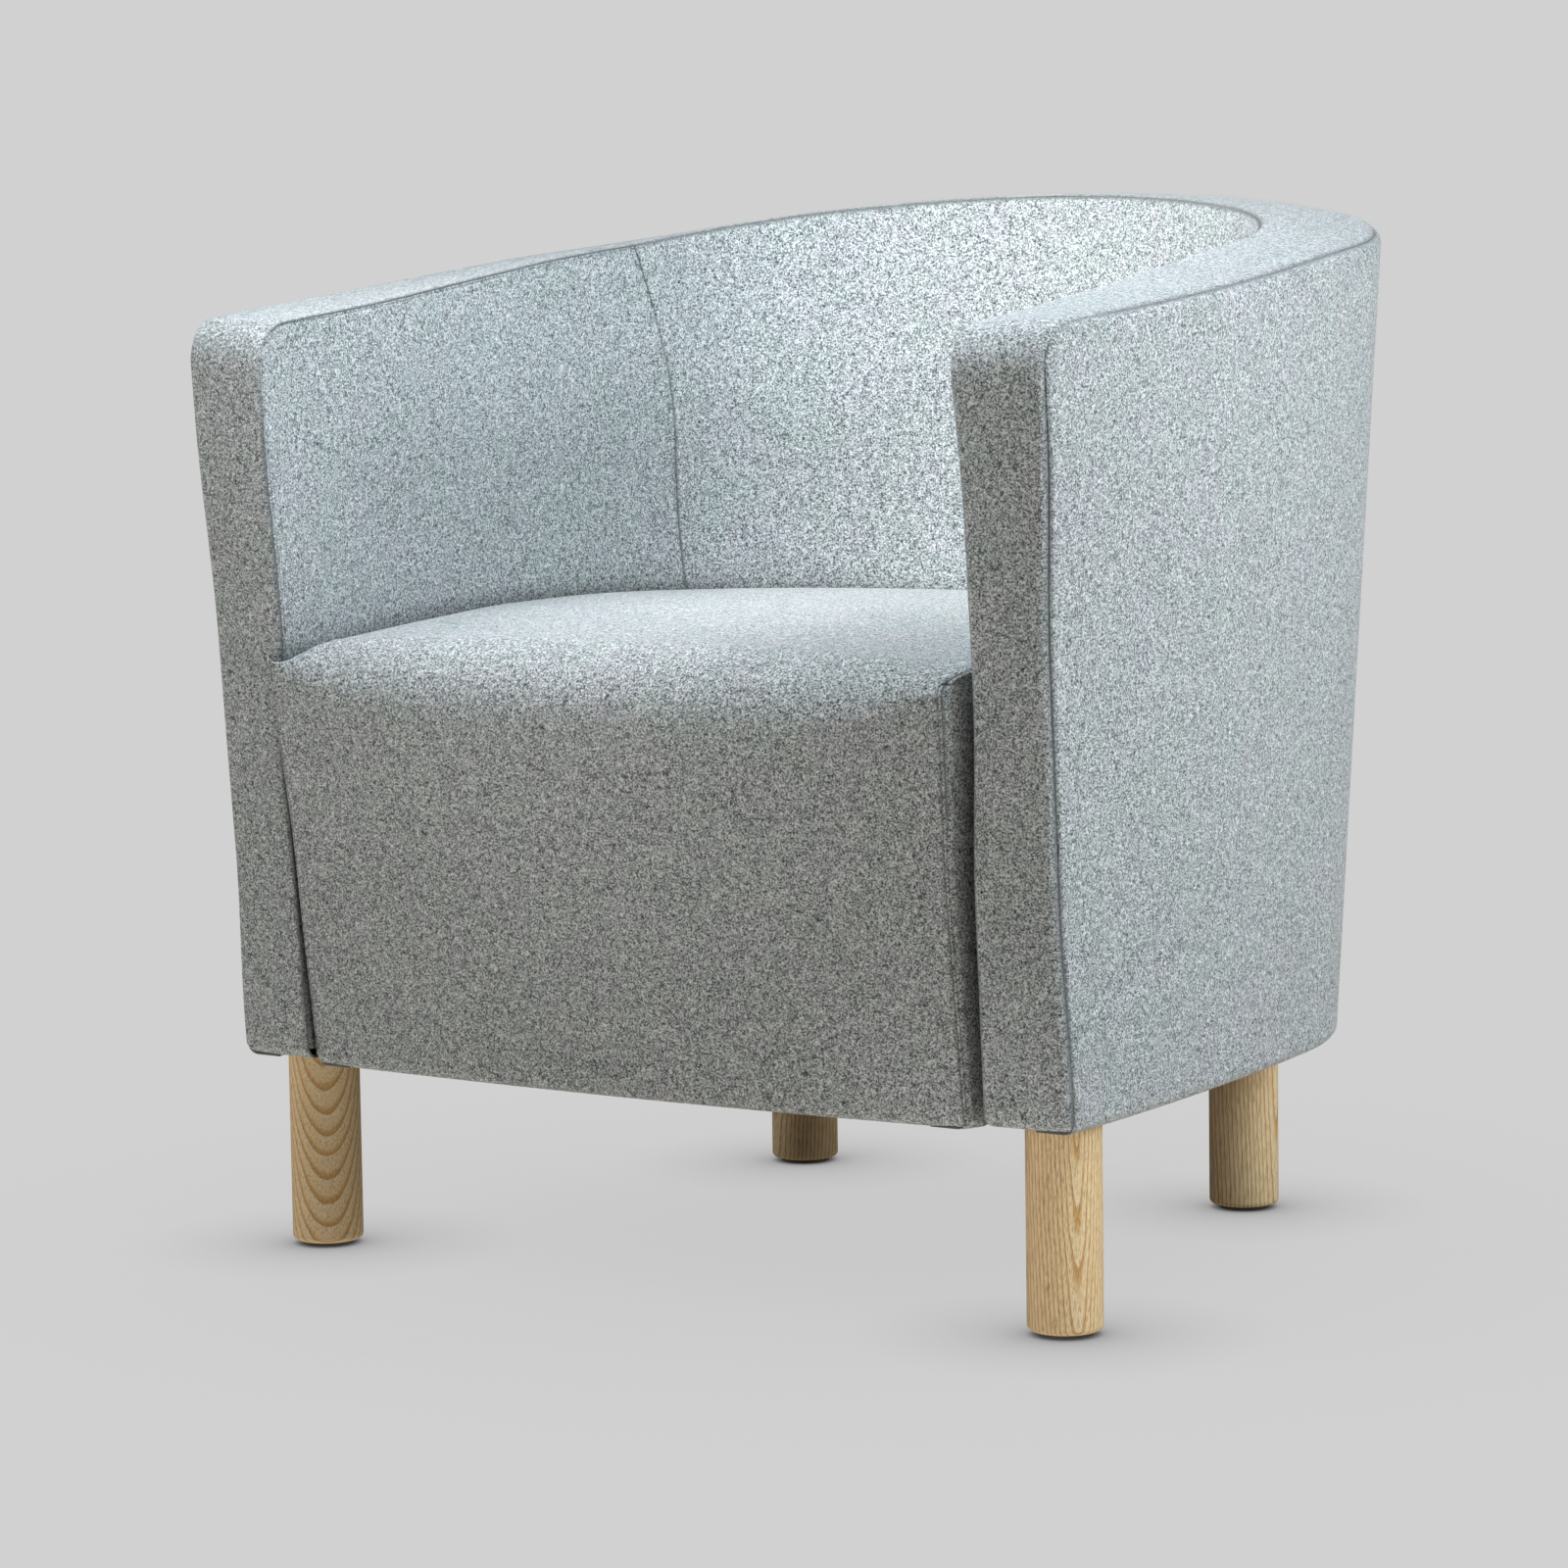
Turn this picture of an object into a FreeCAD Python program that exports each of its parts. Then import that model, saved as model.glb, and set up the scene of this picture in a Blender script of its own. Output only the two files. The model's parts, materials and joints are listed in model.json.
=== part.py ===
import FreeCAD, Part
import math
import os

# Upholstered tub chair, in millimetres.
# Z is up from the floor, X is across the chair, the front of the seat faces -Y.
# The origin is on the floor, under the middle of the chair's box.

# Legs, glides and their fixings
leg_diameter = 50.0
leg_height = 137.0
leg_foot_radius = 4.0
leg_top_radius = 1.0
glide_diameter = 36.0
glide_thickness = 3.0
glide_edge_radius = 1.0
glide_nail_diameter = 4.0
glide_nail_length = 14.0
front_leg_inset = 34.0
front_leg_setback = 45.0
rear_leg_inset = 48.0
rear_leg_angle = 38.0
leg_bolt_diameter = 10.0
leg_bolt_in_leg = 45.0
insert_diameter = 14.0
insert_length = 20.0

# Plan of the tub at its bottom edge
low_half_width = 340.0
low_widest_y = -295.0
low_arm_radius = 2500.0
low_corner_radius = 230.0
low_back_flatter = 20.0
low_back_y = 302.0

# Plan of the tub at the height of the back's top edge
top_half_width = 360.0
top_widest_y = -140.0
top_arm_radius = 1300.0
top_corner_radius = 260.0
top_back_flatter = 40.0
top_back_y = 345.0

# Side view of the tub: leaning arm fronts and a rim that climbs to the back
front_low_y = -295.0
front_lean = 37.0
front_corner_radius = 28.0
rim_front_z = 653.0
rim_back_z = 730.0
rim_dip = 6.0
bottom_turn_width = 6.0
bottom_turn_height = 8.0

# Layers of the wall, from the outside in
cover_thickness = 2.0
wadding_thickness = 4.0
panel_thickness = 3.0
frame_depth = 24.0
foam_low = 22.7
foam_top = 27.2
rim_foam = 10.0
turn_under_width = 24.0
lining_seam_low_y = 144.0
lining_seam_lean = 34.0

# Plywood frame
base_rail_height = 24.0
base_rail_width = 85.0
base_front_rail_depth = 70.0
seat_deck_z = 330.0
seat_rail_height = 24.0
seat_rail_width = 75.0
seat_front_rail_depth = 60.0
top_rail_height = 18.0
rail_split_y = 40.0
front_post_width = 45.0
post_width = 40.0
side_post_y = -90.0
corner_post_angle = 48.0
dowel_diameter = 8.0
dowel_length = 40.0
back_dowel_shares = (0.35, 0.75)

# Screws and staples
screw_diameter = 4.5
screw_head_diameter = 9.0
screw_head_height = 3.0
screw_tip = 5.0
base_screw_length = 60.0
top_screw_length = 55.0
seat_screw_length = 50.0
screw_sink = 2.0
post_screw_spacing = 24.0
post_screw_share = 0.4
staple_width = 11.0
staple_wire = 1.2
staple_leg = 9.0
webbing_staple_spacing = 24.0
dust_staple_inset = 24.0
dust_staples_each_side = 16

# Seat
webbing_width = 60.0
webbing_thickness = 2.0
webbing_landing = 32.0
strap_staple_inset = webbing_landing / 3
webbing_rise_run = 24.0
long_strap_count = 4
long_strap_pitch = 105.0
cross_strap_count = 4
cross_strap_pitch = 92.0
cross_strap_first = 92.0
seat_height = 452.5
seat_crown_radius = 4300.0
seat_crown_y = -20.0
seat_roll_radius = 40.0
seat_proud_low = 1.5
seat_proud_high = 20.0
seat_bow_low = 11.0
seat_bow_high = 13.0
seat_side_gap_low = 7.5
seat_side_gap_high = 13.5
seat_side_flare = 0.15
seat_gusset_depth = 120.0
front_board_thickness = 6.0
dust_cover_thickness = 1.0
dust_cover_inset = 14.0

# Clearances
gap = 0.3
seat_clearance = 0.8
bore_clearance = 0.1

# Reach past the chair for cutting blocks
beyond = 120.0

# Heights that follow from the sizes above
leg_top_z = glide_thickness + leg_height
shell_z = leg_top_z + dust_cover_thickness
frame_z = shell_z + cover_thickness + gap
base_top_z = frame_z + base_rail_height
seat_rail_z = seat_deck_z - seat_rail_height
long_strap_z = seat_deck_z
cross_strap_z = seat_deck_z + webbing_thickness
seat_pad_z = cross_strap_z + webbing_thickness + gap
loft_top_z = rim_back_z + rim_foam

# Insets of each layer from the outer surface
wadding_in = cover_thickness + gap
wadding_out = wadding_in + wadding_thickness
panel_in = wadding_out + gap
panel_out = panel_in + panel_thickness
frame_in = panel_out + gap
frame_out = frame_in + frame_depth
lining_board_in = frame_out + gap
lining_board_out = lining_board_in + panel_thickness
foam_in = lining_board_out + gap
lining_in_low = foam_in + foam_low + gap
lining_in_top = foam_in + foam_top + gap
wall_low = lining_in_low + cover_thickness
wall_top = lining_in_top + cover_thickness
frame_front_inset = cover_thickness + gap + rim_foam + gap
board_front_inset = frame_front_inset - gap - front_board_thickness

# The two plans: a back arc is a little flatter than half a circle as wide as the chair
low_plan = dict(half_width=low_half_width, widest_y=low_widest_y, arm_radius=low_arm_radius,
                corner_radius=low_corner_radius, back_radius=low_half_width + low_back_flatter,
                back_y=low_back_y)
top_plan = dict(half_width=top_half_width, widest_y=top_widest_y, arm_radius=top_arm_radius,
                corner_radius=top_corner_radius, back_radius=top_half_width + top_back_flatter,
                back_y=top_back_y)

widest = max(low_half_width, top_half_width) + beyond
deepest = max(low_back_y, top_back_y) + beyond
foremost = front_low_y - front_lean - beyond
quarter_turn = math.pi / 2


def point(x, y, z=0.0):
    return FreeCAD.Vector(x, y, z)


def mirrored_point(p):
    return point(-p.x, p.y, p.z)


def on_circle(centre, radius, angle, z):
    return point(centre.x + radius * math.cos(angle), centre.y + radius * math.sin(angle), z)


def heading(start, end):
    return math.atan2(end.y - start.y, end.x - start.x)


# The plan of the tub: an arm arc, a corner arc and a back arc on each side, all tangent

def plan_centres(plan):
    """Centres of the right arm, the right corner and the back arcs."""
    arm = point(plan["half_width"] - plan["arm_radius"], plan["widest_y"])
    back = point(0.0, plan["back_y"] - plan["back_radius"])
    reach_arm = plan["arm_radius"] - plan["corner_radius"]
    reach_back = plan["back_radius"] - plan["corner_radius"]
    span = (back - arm).Length
    along = (reach_arm ** 2 - reach_back ** 2 + span ** 2) / (2 * span)
    aside = math.sqrt(reach_arm ** 2 - along ** 2)
    way = heading(arm, back)
    foot = on_circle(arm, along, way, 0.0)
    corner = on_circle(foot, aside, way + quarter_turn, 0.0)
    return arm, corner, back


def plan_edges(plan, inset, z):
    """The tub's plan as five tangent arcs, from the right arm's front round to the left arm's."""
    arm, corner, back = plan_centres(plan)
    arm_radius = plan["arm_radius"] - inset
    corner_radius = plan["corner_radius"] - inset
    back_radius = plan["back_radius"] - inset
    front = math.asin((foremost - arm.y) / arm_radius)
    arm_end = heading(arm, corner)
    corner_end = heading(back, corner)
    right = []
    for centre, radius, start, end in ((arm, arm_radius, front, arm_end),
                                       (corner, corner_radius, arm_end, corner_end)):
        middle = (start + end) / 2
        right.append([on_circle(centre, radius, angle, z) for angle in (start, middle, end)])
    back_start = right[1][2]
    back_middle = on_circle(back, back_radius, quarter_turn, z)
    arcs = right + [[back_start, back_middle, mirrored_point(back_start)]]
    for stretch in reversed(right):
        arcs.append([mirrored_point(p) for p in reversed(stretch)])
    return [Part.Arc(*stretch).toShape() for stretch in arcs]


def plan_wire(plan, inset, z):
    edges = plan_edges(plan, inset, z)
    left_front = edges[-1].Vertexes[-1].Point
    right_front = edges[0].Vertexes[0].Point
    return Part.Wire(edges + [Part.makeLine(left_front, right_front)])


made_tubs = {}
made_layers = {}


def tub(low_inset, top_inset=None):
    """The space inside the tub's outer surface, moved in by an inset. It is open past the front."""
    top_inset = low_inset if top_inset is None else top_inset
    key = (low_inset, top_inset)
    if key not in made_tubs:
        wires = [plan_wire(low_plan, low_inset + bottom_turn_width, shell_z),
                 plan_wire(low_plan, low_inset, shell_z + bottom_turn_height),
                 plan_wire(top_plan, top_inset, loft_top_z)]
        made_tubs[key] = Part.makeLoft(wires, True, True)
    return made_tubs[key]


def layer(low_in, low_out, top_in=None, top_out=None):
    """The part of the wall between two insets."""
    key = (low_in, low_out, top_in, top_out)
    if key not in made_layers:
        made_layers[key] = tub(low_in, top_in).cut(tub(low_out, top_out))
    return made_layers[key]


def height_share(z):
    return (z - shell_z) / (loft_top_z - shell_z)


def plan_at(z):
    share = height_share(z)
    return {name: low_plan[name] + share * (top_plan[name] - low_plan[name]) for name in low_plan}


def arm_x(y, inset, z):
    """Where the right arm's surface, moved in, crosses a line across the chair."""
    plan = plan_at(z)
    arm = plan_centres(plan)[0]
    return arm.x + math.sqrt((plan["arm_radius"] - inset) ** 2 - (y - arm.y) ** 2)


def back_y(x, inset, z):
    """Where the back's surface, moved in, crosses a line along the chair."""
    plan = plan_at(z)
    arm, corner, back = plan_centres(plan)
    back_radius = plan["back_radius"] - inset
    corner_radius = plan["corner_radius"] - inset
    if abs(x) < back_radius * math.cos(heading(back, corner)):
        return back.y + math.sqrt(back_radius ** 2 - x ** 2)
    return corner.y + math.sqrt(corner_radius ** 2 - (abs(x) - corner.x) ** 2)


def corner_point(angle, inset, z):
    """A point on the right corner arc, moved in, by its angle from straight across."""
    plan = plan_at(z)
    corner = plan_centres(plan)[1]
    return on_circle(corner, plan["corner_radius"] - inset, math.radians(angle), z)


# The side view: the leaning front line and the rim's arc

front_slope = front_lean / (rim_front_z - shell_z)


def front_y(inset, z):
    return front_low_y + inset - front_slope * (z - shell_z)


rim_start_y = front_y(0.0, rim_front_z)
rim_chord = math.hypot(top_back_y - rim_start_y, rim_back_z - rim_front_z)
rim_radius = (rim_chord ** 2 / 4 + rim_dip ** 2) / (2 * rim_dip)
rim_slope = math.atan2(rim_back_z - rim_front_z, top_back_y - rim_start_y)
rim_centre_y = (rim_start_y + top_back_y) / 2 - (rim_radius - rim_dip) * math.sin(rim_slope)
rim_centre_z = (rim_front_z + rim_back_z) / 2 + (rim_radius - rim_dip) * math.cos(rim_slope)


def rim_z(y, inset):
    return rim_centre_z - math.sqrt((rim_radius + inset) ** 2 - (y - rim_centre_y) ** 2)


def frame_top_z(y, drop=0.0):
    """The flat top of the frame, which touches the rim foam where the rim dips most."""
    return rim_front_z + (y - rim_start_y) * math.tan(rim_slope) - rim_dip - frame_front_inset - drop


def across(outline):
    """A block that runs right across the chair, from its outline in side view."""
    face = Part.Face(Part.Wire(outline))
    return face.extrude(point(2 * widest, 0.0))


def side_lines(corners):
    """Straight edges of a closed outline in side view, from (y, z) corners."""
    ends = [point(-widest, y, z) for y, z in corners]
    return [Part.makeLine(ends[i - 1], ends[i]) for i in range(len(ends))]


def within_rim(inset):
    """The side view of the tub, moved in, with the soft corner above each arm front."""
    top_front_y = front_y(inset, rim_front_z)
    start = point(-widest, top_front_y, rim_z(top_front_y, inset))
    middle_y = (top_front_y + deepest) / 2
    middle = point(-widest, middle_y, rim_z(middle_y, inset))
    end = point(-widest, deepest, rim_z(deepest, inset))
    low_back = point(-widest, deepest, shell_z)
    low_front = point(-widest, front_y(inset, shell_z), shell_z)
    outline = [Part.Arc(start, middle, end).toShape(), Part.makeLine(end, low_back),
               Part.makeLine(low_back, low_front), Part.makeLine(low_front, start)]
    block = across(outline)
    corner = [edge for edge in block.Edges
              if all((v.Point - point(v.Point.x, start.y, start.z)).Length < gap for v in edge.Vertexes)]
    return block.makeFillet(front_corner_radius - inset, corner)


def within_frame(front_inset, low_z, drop=0.0):
    """The side view of the frame: behind the arm fronts' foam and under the rim's foam."""
    front_inset = frame_front_inset + front_inset
    foot_y = front_y(front_inset, 0.0)
    climb = math.tan(rim_slope)
    meet_z = frame_top_z(foot_y, drop) / (1 + climb * front_slope)
    return across(side_lines([(front_y(front_inset, low_z), low_z),
                              (front_y(front_inset, meet_z), meet_z),
                              (deepest, frame_top_z(deepest, drop)),
                              (deepest, low_z)]))


def slab(z_low, z_high):
    return Part.makeBox(2 * widest, deepest - foremost, z_high - z_low, point(-widest, foremost, z_low))


def behind(y):
    return Part.makeBox(2 * widest, deepest - y, 2 * loft_top_z, point(-widest, y, 0.0))


def right_half():
    return Part.makeBox(widest, deepest - foremost, 2 * loft_top_z, point(0.0, foremost, 0.0))


def mirrored(shape):
    return shape.mirror(point(0.0, 0.0), point(1.0, 0.0))


def tidy(shape):
    """One clean solid, or a group of them."""
    shape = shape.removeSplitter()
    solids = shape.Solids
    return solids[0] if len(solids) == 1 else Part.makeCompound(solids)


def cylinder(centre, diameter, z_low, z_high):
    return Part.makeCylinder(diameter / 2, z_high - z_low, point(centre.x, centre.y, z_low))


nodes = {}


def pair(name, right_shape):
    """A right-hand piece and its mirror image."""
    nodes[name + "_right"] = tidy(right_shape)
    nodes[name + "_left"] = tidy(mirrored(right_shape))


# Fasteners

def turned(profile):
    """A body of revolution about Z from (radius, z) corners."""
    ends = [point(r, 0.0, z) for r, z in profile]
    lines = [Part.makeLine(ends[i - 1], ends[i]) for i in range(len(ends))]
    return Part.Face(Part.Wire(lines)).revolve(point(0, 0), point(0, 0, 1), 360)


def pointed(body, head, way):
    """A turned body with its start moved to the head's middle, along its way."""
    body.Placement = FreeCAD.Placement(head, FreeCAD.Rotation(point(0, 0, 1), way))
    return body


def screw(head, way, length):
    """A countersunk screw from its head's middle along its way."""
    radius = screw_diameter / 2
    profile = [(0.0, 0.0), (screw_head_diameter / 2, 0.0), (radius, screw_head_height),
               (radius, length - screw_tip), (0.0, length)]
    return pointed(turned(profile), head, way)


def screw_hole(head, way, length):
    """The hole for a screw, open above its sunk head."""
    head_radius = screw_head_diameter / 2 + bore_clearance
    radius = screw_diameter / 2 + bore_clearance
    end = length + bore_clearance
    profile = [(0.0, -screw_sink), (head_radius, -screw_sink), (head_radius, 0.0),
               (radius, screw_head_height), (radius, end), (0.0, end)]
    return pointed(turned(profile), head, way)


def screw_set(places, length):
    """Screws at their places, and the holes that they need."""
    screws = [screw(head, way, length) for head, way in places]
    holes = [screw_hole(head, way, length) for head, way in places]
    return Part.makeCompound(screws), holes


def drilled(shape, holes):
    """A piece with the holes that reach it."""
    box = shape.optimalBoundingBox()
    near = [hole for hole in holes if box.intersect(hole.BoundBox)]
    return shape.cut(Part.makeCompound(near)) if near else shape


def staple_bar(place, along, into, corners, thickness):
    """A flat bar on edge: its corners are distances along the crown and into the surface."""
    side = into.cross(along)
    ends = [place + along * a + into * d - side * (thickness / 2) for a, d in corners]
    lines = [Part.makeLine(ends[i - 1], ends[i]) for i in range(len(ends))]
    return Part.Face(Part.Wire(lines)).extrude(side * thickness)


def staple(place, along, into):
    """A wire staple: its crown lies on the surface at its place, its legs go into it."""
    half = staple_width / 2
    inner = half - staple_wire
    corners = [(-half, -staple_wire), (half, -staple_wire), (half, staple_leg), (inner, staple_leg),
               (inner, 0.0), (-inner, 0.0), (-inner, staple_leg), (-half, staple_leg)]
    return staple_bar(place, along, into, corners, staple_wire)


def staple_holes(place, along, into):
    """The two holes for a staple's legs."""
    half = staple_width / 2 + bore_clearance
    inner = half - staple_wire - 2 * bore_clearance
    depth = staple_leg + bore_clearance
    holes = []
    for near, far in ((-half, -inner), (inner, half)):
        corners = [(near, -staple_wire), (far, -staple_wire), (far, depth), (near, depth)]
        holes.append(staple_bar(place, along, into, corners, staple_wire + 2 * bore_clearance))
    return holes


def staple_set(places, into):
    staples = [staple(place, along, into) for place, along in places]
    holes = [hole for place, along in places for hole in staple_holes(place, along, into)]
    return Part.makeCompound(staples), holes


# Legs

low_back = plan_centres(low_plan)[2]
front_leg = point(low_half_width - front_leg_inset, front_low_y + front_leg_setback)
rear_leg = on_circle(low_back, low_plan["back_radius"] - rear_leg_inset,
                     quarter_turn - math.radians(rear_leg_angle), 0.0)
right_legs = {"leg_front": front_leg, "leg_rear": rear_leg}
all_legs = [p for leg in right_legs.values() for p in (leg, mirrored_point(leg))]


def leg_at(place):
    leg = cylinder(place, leg_diameter, glide_thickness, leg_top_z)
    low = [edge for edge in leg.Edges
           if edge.Closed and abs(edge.CenterOfMass.z - glide_thickness) < gap]
    leg = leg.makeFillet(leg_foot_radius, low[:1])
    high = [edge for edge in leg.Edges
            if edge.Closed and abs(edge.CenterOfMass.z - leg_top_z) < gap]
    leg = leg.makeFillet(leg_top_radius, high[:1])
    bolt_bore = cylinder(place, leg_bolt_diameter + 2 * bore_clearance,
                         leg_top_z - leg_bolt_in_leg - bore_clearance, shell_z)
    nail_bore = cylinder(place, glide_nail_diameter + 2 * bore_clearance, 0.0,
                         glide_thickness + glide_nail_length + bore_clearance)
    return leg.cut(bolt_bore).cut(nail_bore)


def glide_at(place):
    disc = cylinder(place, glide_diameter, 0.0, glide_thickness)
    low = [edge for edge in disc.Edges if edge.Closed and edge.CenterOfMass.z < gap]
    disc = disc.makeFillet(glide_edge_radius, low[:1])
    nail = cylinder(place, glide_nail_diameter, glide_thickness / 2, glide_thickness + glide_nail_length)
    return disc.fuse(nail)


for leg_name, leg_place in right_legs.items():
    pair(leg_name, leg_at(leg_place))
    pair(leg_name.replace("leg", "glide"), glide_at(leg_place))

insert_top_z = frame_z + insert_length
leg_bolts = [cylinder(p, leg_bolt_diameter, leg_top_z - leg_bolt_in_leg, insert_top_z) for p in all_legs]
nodes["leg_bolts"] = Part.makeCompound(leg_bolts)
inserts = []
for leg_place in all_legs:
    barrel = cylinder(leg_place, insert_diameter, frame_z, insert_top_z)
    thread = cylinder(leg_place, leg_bolt_diameter + 2 * bore_clearance, frame_z, insert_top_z)
    inserts.append(barrel.cut(thread))
nodes["insert_nuts"] = Part.makeCompound(inserts)
bolt_holes = [cylinder(p, leg_bolt_diameter + 2 * bore_clearance, 0.0, frame_z) for p in all_legs]
insert_bores = [cylinder(p, insert_diameter + 2 * bore_clearance, frame_z, insert_top_z + bore_clearance)
                for p in all_legs]

# Posts, and the screws that hold the rails to them

screw_inset = frame_in + frame_depth * post_screw_share
out_right = point(1.0, 0.0)
out_back = point(0.0, 1.0)


def arm_post_place(y, z, inset):
    return point(arm_x(y, inset, z), y, z)


def front_post_place(z, inset):
    y = front_y(frame_front_inset + front_post_width / 2, z)
    return arm_post_place(y, z, inset)


def side_post_place(z, inset):
    return arm_post_place(side_post_y, z, inset)


def corner_post_place(z, inset):
    return corner_point(corner_post_angle, inset, z)


def back_post_place(z, inset):
    return point(0.0, back_y(0.0, inset, z), z)


corner_angle = math.radians(corner_post_angle)
out_corner = point(math.cos(corner_angle), math.sin(corner_angle))
right_posts = {"post_front": (front_post_place, out_right, front_post_width),
               "post_side": (side_post_place, out_right, post_width),
               "post_corner": (corner_post_place, out_corner, post_width)}
frame_space = within_frame(0.0, frame_z)
post_space = within_frame(0.0, base_top_z, top_rail_height)


def post_block(place, out, width, slack):
    """The upright block that a post is cut from, square to the wall."""
    middle = place(seat_deck_z, screw_inset)
    block = Part.makeBox(2 * beyond, width + 2 * slack, 2 * loft_top_z,
                         point(-beyond, -width / 2 - slack, 0.0))
    turn = FreeCAD.Rotation(point(0, 0, 1), math.degrees(math.atan2(out.y, out.x)))
    block.Placement = FreeCAD.Placement(point(middle.x, middle.y), turn)
    return block


def post_blank(name, place, out, width, slack=0.0):
    wall = layer(frame_in, frame_out + slack)
    if name == "post_front":
        block = within_frame(-slack, shell_z).cut(within_frame(width + slack, shell_z)).common(right_half())
    else:
        block = post_block(place, out, width, slack)
    return wall.common(block)


posts = {}
post_slots = []
base_places = []
top_places = []
seat_places = []


def spread(place, out, z, inset):
    """The two screw places of a post, side by side along the wall."""
    aside = point(-out.y, out.x) * (post_screw_spacing / 2)
    middle = place(z, inset)
    return [middle + aside, middle - aside]


def add_screws(place, out, mirror_too):
    up = point(0, 0, 1)
    found = {"base": [], "top": [], "seat": []}
    for head in spread(place, out, frame_z, screw_inset):
        found["base"].append((head, up))
    middle = place(frame_top_z(place(seat_deck_z, screw_inset).y), screw_inset)
    for head in spread(place, out, middle.z, screw_inset):
        found["top"].append((point(head.x, head.y, frame_top_z(head.y) - screw_sink), up * -1))
    seat_screw_z = (seat_rail_z + seat_deck_z) / 2
    outside = place(seat_screw_z, frame_in + screw_sink)
    found["seat"].append((outside, out * -1))
    for kind, places in (("base", base_places), ("top", top_places), ("seat", seat_places)):
        places.extend(found[kind])
        if mirror_too:
            places.extend([(mirrored_point(head), mirrored_point(way)) for head, way in found[kind]])


for post_name, (place, out, width) in right_posts.items():
    blank = post_blank(post_name, place, out, width).common(right_half())
    slot = post_blank(post_name, place, out, width, gap).common(right_half())
    posts[post_name + "_right"] = blank.common(post_space)
    posts[post_name + "_left"] = mirrored(blank).common(post_space)
    post_slots += [slot, mirrored(slot)]
    add_screws(place, out, True)
back_blank = post_blank("post_back", back_post_place, out_back, post_width).common(behind(0.0))
posts["post_back"] = back_blank.common(post_space)
post_slots.append(post_blank("post_back", back_post_place, out_back, post_width, gap).common(behind(0.0)))
add_screws(back_post_place, out_back, False)

nodes["base_screws"], base_holes = screw_set(base_places, base_screw_length)
nodes["top_screws"], top_holes = screw_set(top_places, top_screw_length)
nodes["seat_rail_screws"], seat_holes = screw_set(seat_places, seat_screw_length)
for post_name, post in posts.items():
    nodes[post_name] = tidy(drilled(post, base_holes + top_holes + seat_holes))

# Base rails and seat rails: a front rail between two side rails, and a curved back rail

def rail_ring(z_low, z_high, width, front_depth):
    """Front, right and back rails of one level, with butt joints."""
    level = slab(z_low, z_high).common(frame_space)
    ring = layer(frame_in, frame_in + width).common(level)
    front_limit = front_y(frame_front_inset, z_low) + front_depth
    front = tub(frame_in + width + gap).common(level).cut(behind(front_limit))
    right = ring.common(right_half()).cut(behind(rail_split_y))
    back = ring.common(behind(rail_split_y + gap))
    return front, right, back


def joint_dowels(z_middle, width, front_depth):
    """Dowels across the front rail's ends and across the ends of the back rail."""
    front_rail_y = front_y(frame_front_inset, z_middle) + front_depth / 2
    places = []
    for aside in (-front_depth / 4, front_depth / 4):
        end_x = arm_x(front_rail_y + aside, frame_in + width, z_middle)
        places.append((point(end_x - dowel_length / 2, front_rail_y + aside, z_middle), out_right))
    for share in back_dowel_shares:
        rail_x = arm_x(rail_split_y, frame_in + width * share, z_middle)
        places.append((point(rail_x, rail_split_y - dowel_length / 2, z_middle), out_back))
    return places + [(mirrored_point(start), mirrored_point(way)) for start, way in places]


def dowel_set(places, slack):
    return [Part.makeCylinder(dowel_diameter / 2 + slack, dowel_length + 2 * slack, start - way * slack, way)
            for start, way in places]


base_dowels = joint_dowels((frame_z + base_top_z) / 2, base_rail_width, base_front_rail_depth)
seat_dowels = joint_dowels((seat_rail_z + seat_deck_z) / 2, seat_rail_width, seat_front_rail_depth)
nodes["rail_dowels"] = Part.makeCompound(dowel_set(base_dowels + seat_dowels, 0.0))
dowel_holes = dowel_set(base_dowels + seat_dowels, bore_clearance)

# Webbing over the seat rails

webbing_inset = lining_board_out + gap
front_rail_y = front_y(frame_front_inset, seat_deck_z)
strap_front_y = front_rail_y + seat_front_rail_depth - webbing_landing
long_straps = []
strap_staples = []
for i in range(long_strap_count):
    strap_x = (i - (long_strap_count - 1) / 2) * long_strap_pitch
    outer_x = abs(strap_x) + webbing_width / 2
    strap_back_y = back_y(outer_x, frame_in + seat_rail_width - webbing_landing, seat_deck_z)
    long_straps.append(Part.makeBox(webbing_width, strap_back_y - strap_front_y, webbing_thickness,
                                    point(strap_x - webbing_width / 2, strap_front_y, long_strap_z)))
    for end_y in (strap_front_y + strap_staple_inset, strap_back_y - strap_staple_inset):
        for aside in (-webbing_staple_spacing / 2, webbing_staple_spacing / 2):
            strap_staples.append((point(strap_x + aside, end_y, long_strap_z + webbing_thickness), out_right))


def cross_strap(middle_y):
    """A strap across the seat: its ends lie on the rails and its middle lies on the long straps."""
    back_edge_y = middle_y + webbing_width / 2
    edge_x = min(arm_x(y, 0.0, seat_deck_z) for y in (middle_y - webbing_width / 2, back_edge_y))
    end_x = edge_x - frame_in - seat_rail_width + webbing_landing
    landing_x = end_x - webbing_landing
    raised_x = landing_x - webbing_rise_run
    under = [(end_x, long_strap_z), (landing_x, long_strap_z), (raised_x, cross_strap_z)]
    over = [(x, z + webbing_thickness) for x, z in under]
    corners = under + [(-x, z) for x, z in reversed(under)]
    corners += [(-x, z) for x, z in over] + list(reversed(over))
    ends = [point(x, middle_y - webbing_width / 2, z) for x, z in corners]
    lines = [Part.makeLine(ends[i - 1], ends[i]) for i in range(len(ends))]
    for side in (-1, 1):
        staple_x = side * (end_x - strap_staple_inset)
        for aside in (-webbing_staple_spacing / 2, webbing_staple_spacing / 2):
            place = point(staple_x, middle_y + aside, long_strap_z + webbing_thickness)
            strap_staples.append((place, out_back))
    return Part.Face(Part.Wire(lines)).extrude(point(0.0, webbing_width))


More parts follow.
